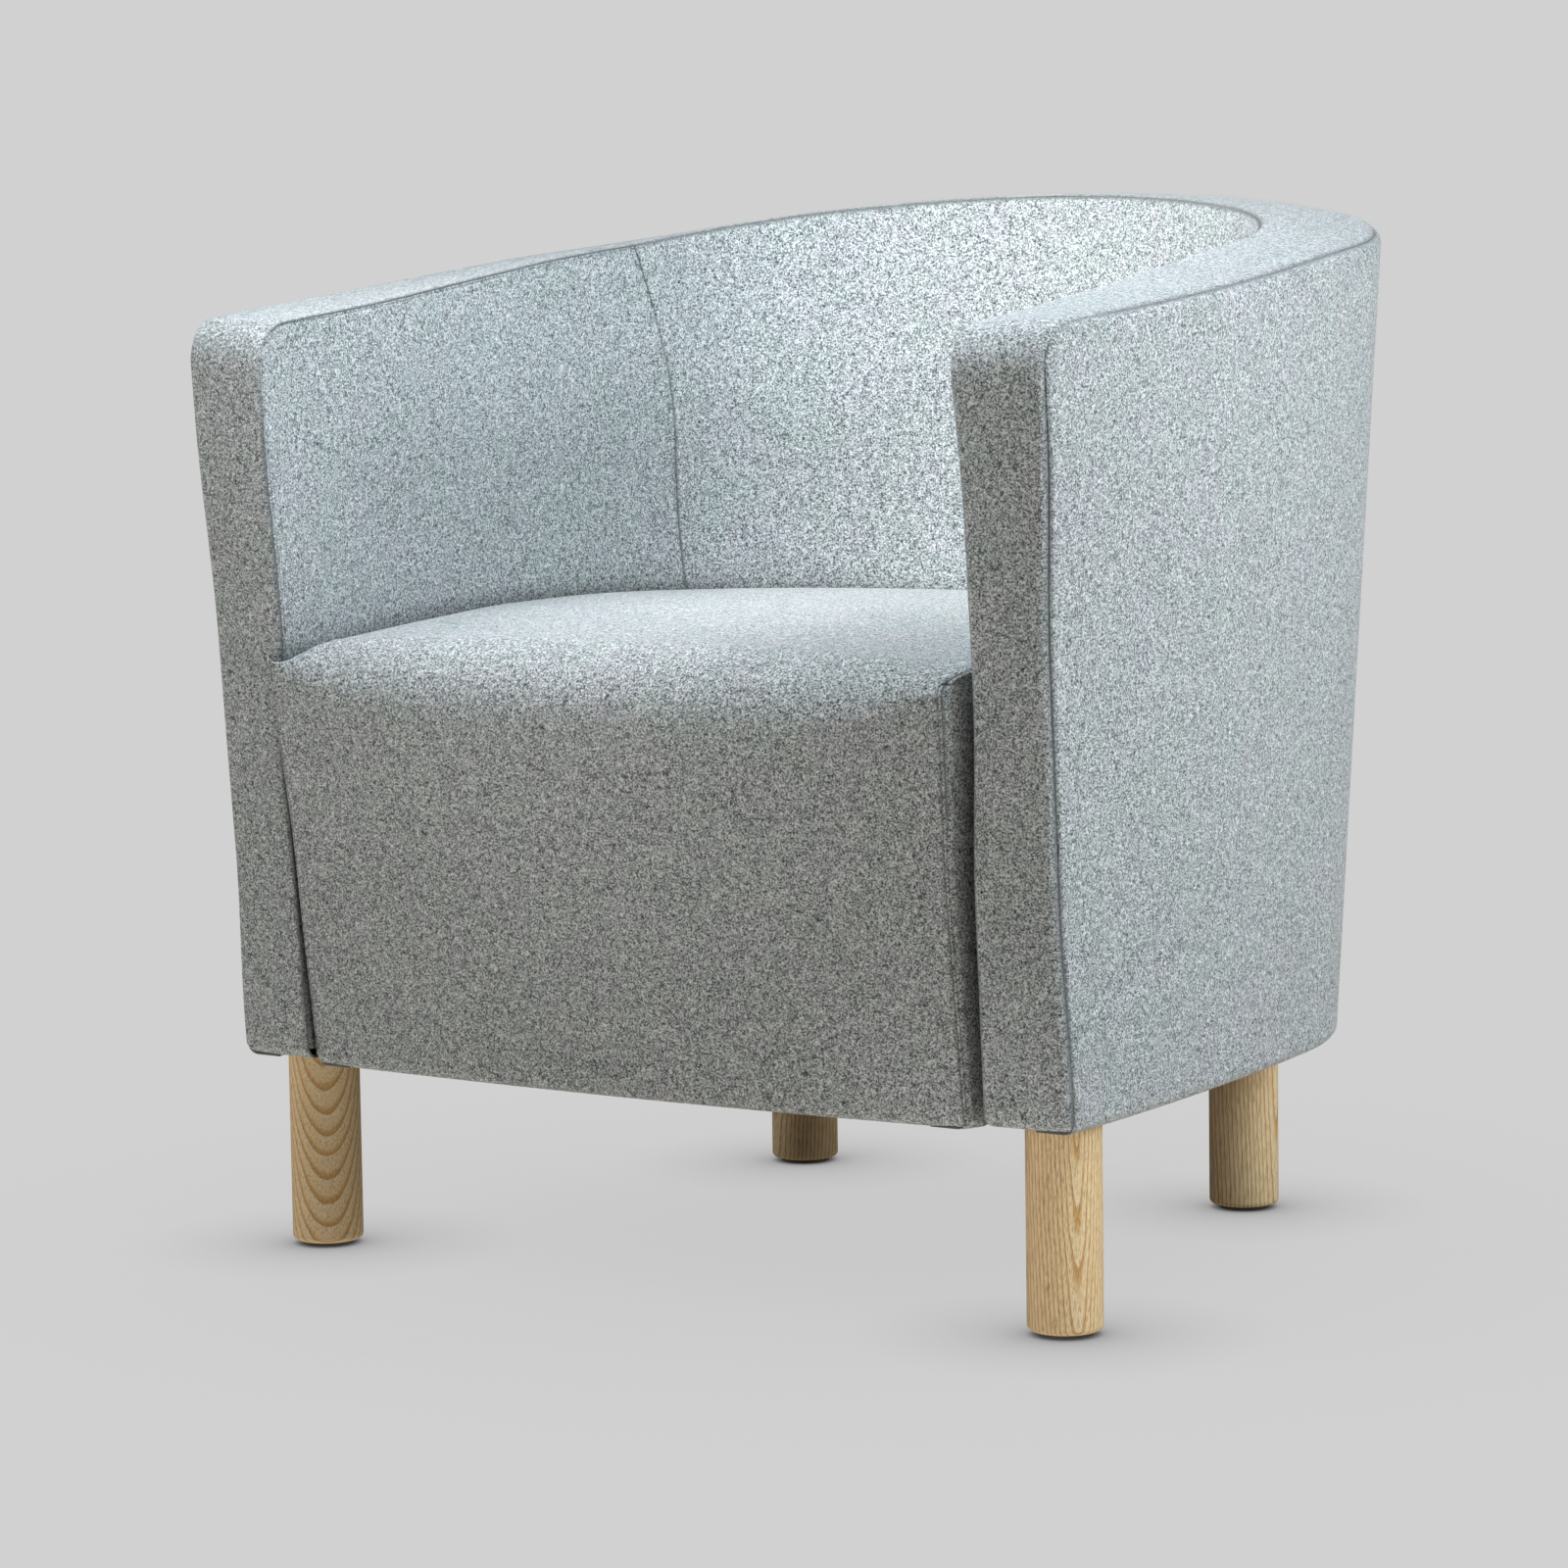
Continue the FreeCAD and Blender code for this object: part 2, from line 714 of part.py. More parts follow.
cross_straps = [cross_strap(front_rail_y + cross_strap_first + i * cross_strap_pitch)
                for i in range(cross_strap_count)]
nodes["webbing_staples"], strap_holes = staple_set(strap_staples, point(0, 0, -1))
nodes["webbing_long"] = tidy(Part.makeCompound([drilled(strap, strap_holes) for strap in long_straps]))
nodes["webbing_cross"] = tidy(Part.makeCompound([drilled(strap, strap_holes) for strap in cross_straps]))

# Staples of the dust cover, round its edge


def beside(spot, others, distance):
    """Whether a spot is nearer than a distance, in plan, to any of the others."""
    return any(math.hypot(other.x - spot.x, other.y - spot.y) < distance for other in others)


edge_wire = Part.Wire(plan_edges(low_plan, dust_staple_inset, leg_top_z))
edge_points = edge_wire.discretize(Number=2 * dust_staples_each_side + 1)
first_staple_y = front_low_y + frame_front_inset + staple_width
screw_heads = [head for head, way in base_places]
dust_staples = []
for i in range(1, len(edge_points) - 1):
    spot = edge_points[i]
    along = edge_points[i + 1] - edge_points[i - 1]
    in_the_way = (beside(spot, all_legs, leg_diameter / 2 + staple_width)
                  or beside(spot, screw_heads, screw_head_diameter / 2 + staple_width))
    if spot.y > first_staple_y and not in_the_way:
        dust_staples.append((spot, along.normalize()))
nodes["dust_cover_staples"], dust_holes = staple_set(dust_staples, point(0, 0, 1))

rail_holes = base_holes + seat_holes + dowel_holes + insert_bores + strap_holes + dust_holes
base_front, base_right, base_back = rail_ring(frame_z, base_top_z, base_rail_width, base_front_rail_depth)
seat_front, seat_right, seat_back = rail_ring(seat_rail_z, seat_deck_z, seat_rail_width, seat_front_rail_depth)
rails = {"base_rail_front": base_front,
         "base_rail_right": base_right,
         "base_rail_left": mirrored(base_right),
         "base_rail_back": base_back,
         "seat_rail_front": seat_front,
         "seat_rail_right": drilled(seat_right, post_slots),
         "seat_rail_left": drilled(mirrored(seat_right), post_slots),
         "seat_rail_back": drilled(seat_back, post_slots)}
for rail_name, rail in rails.items():
    nodes[rail_name] = tidy(drilled(rail, rail_holes))

top_ring = layer(frame_in, frame_out).common(frame_space).cut(within_frame(-beyond, shell_z, top_rail_height))
nodes["top_rail_back"] = tidy(drilled(top_ring.common(behind(rail_split_y + gap)), top_holes))
pair("top_rail", drilled(top_ring.cut(behind(rail_split_y)).common(right_half()), top_holes))

# Panels, foam and wadding of the wall

above_frame_z = slab(frame_z, 2 * loft_top_z)
above_seat = slab(seat_pad_z, 2 * loft_top_z)
under_band = within_rim(cover_thickness + gap)
nodes["outer_panel"] = tidy(layer(panel_in, panel_out).common(frame_space))
nodes["outer_wadding"] = tidy(layer(wadding_in, wadding_out).common(under_band).common(above_frame_z))


def seam_block():
    """The space behind the upright seams of the lining, which lean forward towards the rim."""
    seam_top_y = lining_seam_low_y - lining_seam_lean
    return across(side_lines([(lining_seam_low_y, shell_z), (seam_top_y, loft_top_z),
                              (deepest, loft_top_z), (deepest, shell_z)]))


def split_lining(name, ring):
    """Left, back and right pieces of an inner layer, parted at the upright seams."""
    back_space = seam_block()
    clear_space = back_space.copy()
    clear_space.translate(point(0.0, -gap))
    arms = ring.cut(clear_space)
    nodes[name + "_back"] = tidy(ring.common(back_space))
    nodes[name + "_right"] = tidy(arms.common(right_half()))
    nodes[name + "_left"] = tidy(arms.cut(right_half()))


foam_out_low = lining_in_low - gap
foam_out_top = lining_in_top - gap
lining_space = frame_space.common(above_seat)
split_lining("inner_panel", layer(lining_board_in, lining_board_out).common(lining_space))
split_lining("wall_foam", layer(foam_in, foam_out_low, foam_in, foam_out_top).common(lining_space))
rim_space = under_band.cut(within_frame(-gap, shell_z, -gap)).common(above_frame_z)
nodes["rim_foam"] = tidy(layer(panel_in, foam_out_low, panel_in, foam_out_top).common(rim_space))

# Covers of the wall

wall = layer(0.0, wall_low, 0.0, wall_top)
nodes["border_band"] = tidy(wall.common(within_rim(0.0).cut(within_rim(cover_thickness))))
outside = layer(0.0, cover_thickness).common(under_band)
flange = layer(cover_thickness, turn_under_width).common(slab(shell_z, shell_z + cover_thickness))
flange = flange.common(within_frame(0.0, shell_z))
nodes["outer_cover"] = tidy(drilled(outside.fuse(flange), bolt_holes + dust_holes))
seat_void = within_frame(-gap, shell_z, -gap).common(slab(shell_z, seat_pad_z))
lining = layer(lining_in_low, wall_low, lining_in_top, wall_top).common(under_band)
split_lining("lining", lining.common(above_frame_z).cut(seat_void))

# Seat: front board, pads and covers

def seat_plan(z, front_inset, side_inset):
    """The seat's plan at one height: a bowed front and sides that spread towards the arms."""
    share = (z - shell_z) / (seat_height - shell_z)
    proud = seat_proud_low + share * (seat_proud_high - seat_proud_low)
    side_gap = seat_side_gap_low + share * (seat_side_gap_high - seat_side_gap_low)
    bow = seat_bow_low + share * (seat_bow_high - seat_bow_low)
    front = front_y(-proud, z)
    wall_depth = wall_low + height_share(z) * (wall_top - wall_low)
    corner_x = arm_x(front, wall_depth, z) - side_gap - side_inset
    x = corner_x + seat_side_flare * front_inset
    y = front + front_inset
    spread_x = x + seat_side_flare * (deepest - y)
    right_front = point(x, y, z)
    right_back = point(spread_x, deepest, z)
    bowed = Part.Arc(mirrored_point(right_front), point(0.0, y - bow, z), right_front).toShape()
    return Part.Wire([bowed, Part.makeLine(right_front, right_back),
                      Part.makeLine(right_back, mirrored_point(right_back)),
                      Part.makeLine(mirrored_point(right_back), mirrored_point(right_front))])


def seat_block(front_inset, side_inset):
    wires = [seat_plan(z, front_inset, side_inset) for z in (shell_z, seat_height + seat_roll_radius)]
    return Part.makeLoft(wires, True, True)


def seat_form(skin, side_inset):
    """The seat's whole form, moved in by a skin on its top and front: crown, roll and upright front."""
    block = seat_block(skin, side_inset)
    crown = Part.makeSphere(seat_crown_radius - skin,
                            point(0.0, seat_crown_y, seat_height - seat_crown_radius))
    form = block.common(crown)
    wide_edges = [edge for edge in form.Edges
                  if edge.CenterOfMass.z > seat_deck_z and edge.BoundBox.XLength > edge.BoundBox.YLength]
    front_edge = min(wide_edges, key=lambda edge: edge.CenterOfMass.y)
    form = form.makeFillet(seat_roll_radius - skin, [front_edge])
    inside = tub(wall_low + seat_clearance + side_inset, wall_top + seat_clearance + side_inset)
    return form.common(inside)


pad_skin = cover_thickness + gap
board_plane = within_frame(board_front_inset - frame_front_inset, shell_z, -beyond)
pad_plane = within_frame(board_front_inset - frame_front_inset - gap, shell_z, -beyond)
board_half = arm_x(front_y(0.0, shell_z), wall_top, shell_z) - seat_side_gap_high - pad_skin - cover_thickness
board = board_plane.cut(within_frame(-gap, shell_z, -beyond)).common(slab(frame_z, seat_deck_z))
width_block = Part.makeBox(2 * board_half, deepest - foremost, 2 * loft_top_z, point(-board_half, foremost))
nodes["front_board"] = tidy(board.common(width_block))

pad_form = seat_form(pad_skin, pad_skin)
nodes["seat_foam"] = tidy(pad_form.common(above_seat))
nodes["front_padding"] = tidy(pad_form.common(slab(frame_z, seat_pad_z - gap)).cut(pad_plane))

cover_space = above_frame_z.cut(pad_plane.common(slab(shell_z, seat_pad_z)))
whole_seat = seat_form(0.0, 0.0)
seat_skin = whole_seat.cut(seat_form(cover_thickness, -cover_thickness))
nodes["seat_cover"] = tidy(seat_skin.common(cover_space))
side_skin = seat_form(pad_skin, 0.0).cut(seat_block(-beyond, cover_thickness))
gusset_back_y = front_y(0.0, seat_deck_z) + seat_gusset_depth
side_skin = side_skin.common(cover_space).cut(behind(gusset_back_y))
nodes["seat_gusset_right"] = tidy(side_skin.common(right_half()))
nodes["seat_gusset_left"] = tidy(side_skin.cut(right_half()))

# Dust cover under the tub

dust_plate = Part.Face(plan_wire(low_plan, dust_cover_inset, leg_top_z))
dust_plate = dust_plate.extrude(point(0.0, 0.0, dust_cover_thickness))
dust_plate = dust_plate.common(behind(front_low_y + dust_cover_inset))
nodes["dust_cover"] = tidy(drilled(dust_plate, bolt_holes + dust_holes))

os.makedirs("parts", exist_ok=True)
for node_name, node_shape in nodes.items():
    node_shape.exportStep("parts/" + node_name + ".step")
    print(node_name, len(node_shape.Solids), "solids, valid", node_shape.isValid())
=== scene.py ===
import json
import math

import bmesh
import bpy
from mathutils import Matrix, Vector


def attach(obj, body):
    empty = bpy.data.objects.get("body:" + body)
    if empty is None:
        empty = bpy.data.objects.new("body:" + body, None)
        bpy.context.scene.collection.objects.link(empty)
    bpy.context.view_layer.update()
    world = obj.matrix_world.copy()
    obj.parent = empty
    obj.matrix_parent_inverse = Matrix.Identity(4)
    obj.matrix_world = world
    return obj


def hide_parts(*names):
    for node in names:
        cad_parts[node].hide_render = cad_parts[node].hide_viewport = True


# The looks of an upholstered tub chair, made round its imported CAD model.
# Sizes are in millimetres, in the CAD model's frame: Z is up and the seat faces -Y.
# A mesh turns to metres when its points are set.

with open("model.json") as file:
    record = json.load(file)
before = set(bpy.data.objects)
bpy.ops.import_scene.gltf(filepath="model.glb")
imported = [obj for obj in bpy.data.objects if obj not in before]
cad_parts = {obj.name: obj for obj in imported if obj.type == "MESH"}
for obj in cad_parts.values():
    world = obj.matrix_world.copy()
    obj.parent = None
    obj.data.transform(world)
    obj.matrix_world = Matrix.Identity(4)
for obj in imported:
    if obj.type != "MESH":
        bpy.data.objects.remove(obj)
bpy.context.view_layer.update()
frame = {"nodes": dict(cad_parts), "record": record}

MM = 0.001

# Plan of the tub at its bottom edge and at the loft's top
shell_z = 141.0
wall_low_z = 149.0
loft_top_z = 740.0
arcs_first_y = -452.0
low_plan = dict(half_width=340.0, widest_y=-295.0, arm_radius=2500.0,
                corner_radius=230.0, back_radius=360.0, back_y=302.0)
top_plan = dict(half_width=360.0, widest_y=-140.0, arm_radius=1300.0,
                corner_radius=260.0, back_radius=400.0, back_y=345.0)
wall_low = 62.5
wall_top = 67.0

# Side view: leaning arm fronts and a rim that climbs to the back
front_low_y = -295.0
front_slope = 37.0 / 512.0
front_corner_radius = 28.0
rim_front_z = 653.0
rim_back_z = 730.0
rim_dip = 6.0
rim_back_fall = 4.2
rim_fall_from_y = 10.0
rim_fall_reach = 170.0
rim_middle_from_y = 285.0
rim_middle_reach = 60.0
rim_middle_share = 0.3

# Seat
seat_height = 452.5
seat_crown_radius = 4300.0
seat_crown_y = -20.0
seat_back_fall = 9.0
seat_back_reach = 250.0
seat_hem_z = 136.5
seat_roll_middle = 48.0
seat_roll_end = 11.0
seat_end_power = 6
seat_proud_low = 1.5
seat_proud_high = 20.0
seat_bow_low = 11.0
seat_bow_high = 13.0
seat_crown_radius_right = 9000.0
seat_droop = 14.0
seat_droop_reach = 45.0
seat_right = dict(gap_low=15.5, gap_high=15.5, flare=0.32, shoulder=0.0)
seat_left = dict(gap_low=0.8, gap_high=4.0, flare=0.0, shoulder=40.0)
seat_shoulder_reach = 40.0
seat_back_clearance = 0.5
seat_edge_radius = 14.0
seat_edge_z = 440.0
seat_deck_z = 336.0

# Gussets of the seat, and the returns inside the arm fronts beside it
gusset_depth = 104.0
gusset_deepening = 8.0
return_depth = 17.0
return_behind = (3.0, 12.0, 34.0)
return_overlap = 8.0

# Edges and seams of the cloth
cloth_thickness = 2.0
front_edge_radius = 6.0
front_seam_angle = math.radians(60.0)
rim_edge_radius = 7.0
rim_seam_angle = math.radians(30.0)
rim_edge_start = 10.0
rim_edge_reach = 40.0
inner_edge_radius = 1.5
seat_seam_radius = 5.0
bottom_edge_radius = 7.0
under_flap = 20.0
crease_depth = 1.1
crease_width = 2.6
# Painted shade beside each seam: its width, and how faint it is where a seam goes round an arm's soft corner
seam_shade_width = 1.8
seam_faint = 0.4
bead_radius = 1.2
bead_faint = 0.35
corner_faint_reach = 15.0
corner_fade = 60.0

# Border band
band_flap_rise = 1.6
band_crown = 0.6
band_inner_fall = 2.0
band_inner_rise = 5.0
band_level_reach = 80.0
tilt_from_y = -320.0
tilt_reach = 300.0
tilt_end_y = 220.0
tilt_low_z = 560.0
tilt_rise = 70.0

# Arm fronts: slimmer at a waist, the inner edge ahead of the outer, the left one thicker inside
outer_waist = dict(depth=5.5, low_z=150.0, rise=140.0, top_z=590.0, fade=150.0)
inner_waist = dict(depth=6.0, low_z=280.0, rise=150.0, top_z=700.0, fade=180.0)
waist_reach = 200.0
front_turn = 5.0
front_turn_reach = 90.0
left_thicker_top = 3.0
left_thicker_low = 11.0
left_thicker_reach = 220.0

# Linings: they swell above the seat, and an upright seam joins each arm's to the back's
lining_bulge = 16.0
bulge_reach = 160.0
bulge_low_z = 470.0
bulge_rise = 150.0
lining_foot_z = 345.0
lining_crease = 1.2
lining_seam_low_y = 139.0
lining_seam_lean = 34.0
lining_seam_bend = 32.0
lining_seam_bend_z = 560.0
lining_seam_bend_reach = 150.0
lining_seam_bend_power = 1.6
# The painted shade beside the upright seam grows fainter above a row
upright_faint = 0.2
upright_faint_row = 230.0
upright_fade = 60.0

# Spacing of the cloth's grid: close beside a seam, then an even step
seam_steps = (0.0, 0.6, 1.3, 2.2, 3.4, 5.0, 7.5, 11.0, 16.0)
cloth_step = 9.0
band_step = 8.0
band_cross_step = 7.0
roll_step = 4.0
gusset_step = 8.0
return_step = 3.0
band_bead_step = 6.0
gusset_bead_step = 4.0
turn_steps = 6

# Rounds of finding a point whose height depends on its place and its place on its height
outer_rounds = 6
band_rounds = 4
lining_rounds = 5
seat_rounds = 6
gusset_rounds = 5


def mix(start, end, share):
    return start + (end - start) * share


def eased(share):
    """A share from 0 to 1 with soft ends."""
    share = min(max(share, 0.0), 1.0)
    return share * share * (3.0 - 2.0 * share)


def mirrored(point):
    return Vector((-point.x, point.y, point.z))


# The form of the tub

def height_share(z):
    return max((z - wall_low_z) / (loft_top_z - wall_low_z), 0.0)


def wall_depth(z):
    return mix(wall_low, wall_top, height_share(z))


def front_y(z):
    return front_low_y - front_slope * (z - shell_z)


def heading(start, end):
    return math.atan2(end.y - start.y, end.x - start.x)


def plan_arcs(plan):
    """The right half of a plan: centre, radius, first and last angle of its arm, corner and back arcs."""
    arm = Vector((plan["half_width"] - plan["arm_radius"], plan["widest_y"]))
    back = Vector((0.0, plan["back_y"] - plan["back_radius"]))
    reach_arm = plan["arm_radius"] - plan["corner_radius"]
    reach_back = plan["back_radius"] - plan["corner_radius"]
    span = (back - arm).length
    along = (reach_arm ** 2 - reach_back ** 2 + span ** 2) / (2 * span)
    aside = math.sqrt(reach_arm ** 2 - along ** 2)
    way = (back - arm) / span
    corner = arm + way * along + Vector((-way.y, way.x)) * aside
    arm_start = math.asin((arcs_first_y - arm.y) / plan["arm_radius"])
    arm_end = heading(arm, corner)
    corner_end = heading(back, corner)
    return [(arm, plan["arm_radius"], arm_start, arm_end),
            (corner, plan["corner_radius"], arm_end, corner_end),
            (back, plan["back_radius"], corner_end, math.pi / 2)]


low_arcs = plan_arcs(low_plan)
top_arcs = plan_arcs(top_plan)


def on_arc(arc, share, inset):
    centre, radius, start, end = arc
    angle = mix(start, end, share)
    return centre + Vector((math.cos(angle), math.sin(angle))) * (radius - inset)


def ruled_point(stretch, share, z, inset):
    """A point of the wall, moved in: straight lines run up it from the low arcs to the top ones."""
    low = on_arc(low_arcs[stretch], share, inset)
    flat = low.lerp(on_arc(top_arcs[stretch], share, inset), height_share(z))
    return Vector((flat.x, flat.y, z))


def share_at(stretch, y, z, inset, tries=2):
    """Where a stretch of the wall passes a place, as a share of it, in a few of Newton's steps."""
    share = 0.5
    small = 0.001
    for _ in range(tries):
        here = ruled_point(stretch, share, z, inset).y
        ahead = ruled_point(stretch, share + small, z, inset).y
        share += (y - here) * small / (ahead - here)
    return share


def stretch_lengths(z):
    """Lengths round the arm, corner and back stretches of one half of the wall."""
    up = height_share(z)
    return [mix(low[1] * (low[3] - low[2]), top[1] * (top[3] - top[2]), up)
            for low, top in zip(low_arcs, top_arcs)]


def half_length(z, first):
    """The way round half of the wall, from a share of the arm's stretch to the back's middle."""
    arm, corner, back = stretch_lengths(z)
    return arm * (1 - first) + corner + back


def wall_place(distance, z, first):
    """The stretch of the right half of the wall and the share of it, by the distance round."""
    share = first
    for stretch, length in enumerate(stretch_lengths(z)):
        share += distance / length
        if share <= 1.0:
            break
        distance = (share - 1.0) * length
        share = 0.0 if stretch < 2 else 1.0
    return stretch, share


def wall_point(distance, z, inset, first):
    """A point of the right half of the wall, moved in, by its distance round from the arm's first share."""
    return ruled_point(*wall_place(distance, z, first), z, inset)


def wall_distance(y, z, inset, first):
    """The distance round to a place on the wall, moved in, before its back arc."""
    arm, corner, _ = stretch_lengths(z)
    if y <= ruled_point(0, 1.0, z, inset).y:
        return arm * (share_at(0, y, z, inset) - first)
    return arm * (1 - first) + corner * share_at(1, y, z, inset, tries=5)


def arm_x(y, z, inset):
    return ruled_point(0, share_at(0, y, z, inset), z, inset).x


rim_start_y = front_y(rim_front_z)
rim_chord = math.hypot(top_plan["back_y"] - rim_start_y, rim_back_z - rim_front_z)
rim_radius = (rim_chord ** 2 / 4 + rim_dip ** 2) / (2 * rim_dip)
rim_slope = math.atan2(rim_back_z - rim_front_z, top_plan["back_y"] - rim_start_y)
rim_centre_y = (rim_start_y + top_plan["back_y"]) / 2 - (rim_radius - rim_dip) * math.sin(rim_slope)
rim_centre_z = (rim_front_z + rim_back_z) / 2 + (rim_radius - rim_dip) * math.cos(rim_slope)


def rim_z(y):
    """Height of the rim's inner edge."""
    return rim_centre_z - math.sqrt(rim_radius ** 2 - (y - rim_centre_y) ** 2)


def outer_rim_z(y):
    """Height of the rim's outer edge, which is pulled down a little round the back corners."""
    fall = rim_back_fall * eased((y - rim_fall_from_y) / rim_fall_reach)
    return rim_z(y) - fall * mix(1.0, rim_middle_share, eased((y - rim_middle_from_y) / rim_middle_reach))


# Profiles in side view: up a leaning front, round a soft corner and along a top
# Points here are (y, z).

class Profile:
    """A front line and a top line joined by an arc."""

    def __init__(self, foot, tip, top_way, radius):
        self.foot = foot
        self.front_way = (tip - foot).normalized()
        self.front_out = Vector((-self.front_way.y, self.front_way.x))
        self.radius = radius
        angle = (-self.front_way).angle(top_way)
        reach = radius / math.tan(angle / 2)
        self.turn = math.pi - angle
        self.arc_start = tip - self.front_way * reach
        self.arc_end = tip + top_way * reach
        self.centre = self.arc_start - self.front_out * radius
        self.front_length = (self.arc_start - foot).length
        self.length = self.front_length + radius * self.turn

    def at(self, distance):
        """The place and the outward way, by the distance up from the foot."""
        if distance <= self.front_length:
            return self.foot + self.front_way * distance, self.front_out
        turn = (distance - self.front_length) / self.radius
        out = self.front_out
        turned = Vector((out.x * math.cos(turn) + out.y * math.sin(turn),
                         out.y * math.cos(turn) - out.x * math.sin(turn)))
        return self.centre + turned * self.radius, turned

    def corner_top(self, behind, inset):
        """Height of the arc, moved in, over a place that far behind the front line."""
        across = self.radius - behind
        reach = self.radius - inset
        up = math.sqrt(max(reach ** 2 - across ** 2, 0.0))
        return (self.centre + self.front_out * across + self.front_way * up).y

    def inside(self, place, below_top):
        """How far a place lies inside the profile, given how far it is below the top line."""
        behind = (self.foot - place).dot(self.front_out)
        if behind < self.radius and below_top < self.radius:
            return self.radius - (place - self.centre).length
        return min(behind, below_top)


rim_climb = rim_z(rim_start_y + front_corner_radius) - rim_front_z
rim_way = Vector((1.0, rim_climb / front_corner_radius)).normalized()
arm_profile = Profile(Vector((front_low_y, shell_z)), Vector((rim_start_y, rim_front_z)), rim_way,
                      front_corner_radius)
rim_first_y = arm_profile.arc_end.x


def inner_tilt(y, z):
    """How far the band's inner edge is below the rim: it falls at the arm's front and rises along the arm."""
    behind = min(max((y - tilt_from_y) / tilt_reach, 0.0), 1.0)
    tilt = mix(band_inner_fall, -band_inner_rise * (1 - eased(y / tilt_end_y)), behind)
    return tilt * eased((z - tilt_low_z) / tilt_rise)


def bulge(y, z):
    """How far the lining's padding swells into the tub, above the seat and behind the arm fronts."""
    return lining_bulge * eased((y - front_y(z)) / bulge_reach) * eased((z - bulge_low_z) / bulge_rise)


def near_front(y, z):
    return 1 - eased((y - front_y(z)) / waist_reach)


def slimmer(waist, y, z):
    """How far one side of an arm is drawn in: the arm fronts are slimmer at their middle."""
    below_top = eased((waist["top_z"] - z) / waist["fade"])
    above_low = eased((z - waist["low_z"]) / waist["rise"])
    return waist["depth"] * near_front(y, z) * below_top * above_low


def inner_depth(y, z):
    """How far the lining's face is from the outside: less at an arm front's waist, more where it swells."""
    return wall_depth(z) + bulge(y, z) - slimmer(inner_waist, y, z)


def on_left(point, share=1.0):
    """A right arm's point brought over to the left one, whose front is a little thicker inside."""
    thicker = mix(left_thicker_top, left_thicker_low, eased((rim_front_z - point.z) / left_thicker_reach))
    thicker *= eased((point.z - seat_deck_z) / (seat_height - seat_deck_z))
    return Vector((thicker * near_front(point.y, point.z) * share - point.x, point.y, point.z))


def inner_lead(y, z):
    """How far the inner edge of an arm's front stands ahead of its outer edge."""
    return front_turn * (1 - eased((y - front_y(z)) / front_turn_reach))


def rim_y(stretch, share, z, inset):
    """The place along the rim that gives a point its height: the band is level across behind the fronts."""
    here = ruled_point(stretch, share, z, inset).y
    outside = ruled_point(stretch, share, z, 0.0).y
    return mix(here, outside, eased((here - rim_first_y) / band_level_reach))


# Padded edges: two panels meet at the middle of a rounded edge, in a small crease

def edge_fall(distance, radius):
    """How far a rounded edge has fallen, at a distance from the sharp corner."""
    if distance >= radius:
        return 0.0
    return radius - math.sqrt(radius ** 2 - (radius - max(distance, 0.0)) ** 2)


def crease(distance):
    """The share of a crease's depth, at a distance from its seam."""
    return (1.0 - min(max(distance, 0.0) / crease_width, 1.0)) ** 2


class Edge:
    """A rounded edge with a seam in a crease, at an angle round from the front panel to the side one.

    The front panel ends front_end from the side panel's plane, and the side one side_end from the front's.
    """

    def __init__(self, radius, angle):
        self.radius = radius
        self.front_end = radius * (1 - math.sin(angle)) + crease_depth * math.sin(angle)
        self.side_end = radius * (1 - math.cos(angle)) + crease_depth * math.cos(angle)

    def front_fall(self, distance):
        """How far the front panel has fallen, at a distance from the side panel's plane."""
        dip = self.side_end - edge_fall(self.front_end, self.radius)
        return edge_fall(distance, self.radius) + dip * crease(distance - self.front_end)

    def side_fall(self, distance):
        """How far the side panel has fallen, at a distance from the front panel's plane."""
        dip = self.front_end - edge_fall(self.side_end, self.radius)
        return edge_fall(distance, self.radius) + dip * crease(distance - self.side_end)


half_round = math.radians(45.0)
inner_edge = Edge(inner_edge_radius, half_round)
seat_edge = Edge(seat_seam_radius, half_round)


def outer_edge(y, z):
    """The wall's outer edge: rolled back to a seam on the side at the arm fronts, crisp along the rim."""
    behind = y - front_y(z)
    on_rim = eased((behind - rim_edge_start) / rim_edge_reach)
    radius = mix(front_edge_radius, rim_edge_radius, on_rim)
    return Edge(radius, mix(front_seam_angle, rim_seam_angle, on_rim))


# Meshes

def stations(start, end, step=cloth_step, first=seam_steps, last=seam_steps):
    """Distances from start to end, close together beside a seam and even between."""
    head = [start + d for d in first] or [start]
    tail = [end - d for d in reversed(last)] or [end]
    count = max(1, round((tail[0] - head[-1]) / step))
    between = [mix(head[-1], tail[0], i / count) for i in range(count + 1)]
    return head[:-1] + between + tail[1:]


def even(start, end, step=cloth_step):
    """Distances from start to end in even steps."""
    return stations(start, end, step, first=(), last=())


def grid_shape(columns, rows, place, seam_pull_and_painted_shade=None):
    """A grid with its columns and rows at the given distances, placed by a function of both.

    A second function gives the painted shade beside a seam at each point, kept as a point attribute named
    like that argument.
    """
    shape = bmesh.new()
    painted_seam_shade = shape.verts.layers.float.new("seam_pull_and_painted_shade")
    bmesh.ops.create_grid(shape, x_segments=len(columns) - 1, y_segments=len(rows) - 1, size=0.5)
    for vertex in shape.verts:
        column = columns[round((vertex.co.x + 0.5) * (len(columns) - 1))]
        row = rows[round((vertex.co.y + 0.5) * (len(rows) - 1))]
        vertex.co = place(column, row) * MM
        if seam_pull_and_painted_shade:
            vertex[painted_seam_shade] = seam_pull_and_painted_shade(column, row)
    return shape


def faded(faint, from_corner):
    """A share that is faint where a seam is pulled round an arm's soft corner, and 1 away from it."""
    return mix(faint, 1.0, eased((from_corner - corner_faint_reach) / corner_fade))


def beside_seam(distance, from_corner=math.inf):
    """How dark the painted shade is beside a seam, where the stitches draw the cloth into a crease."""
    return max(1.0 - distance / seam_shade_width, 0.0) * faded(seam_faint, from_corner)


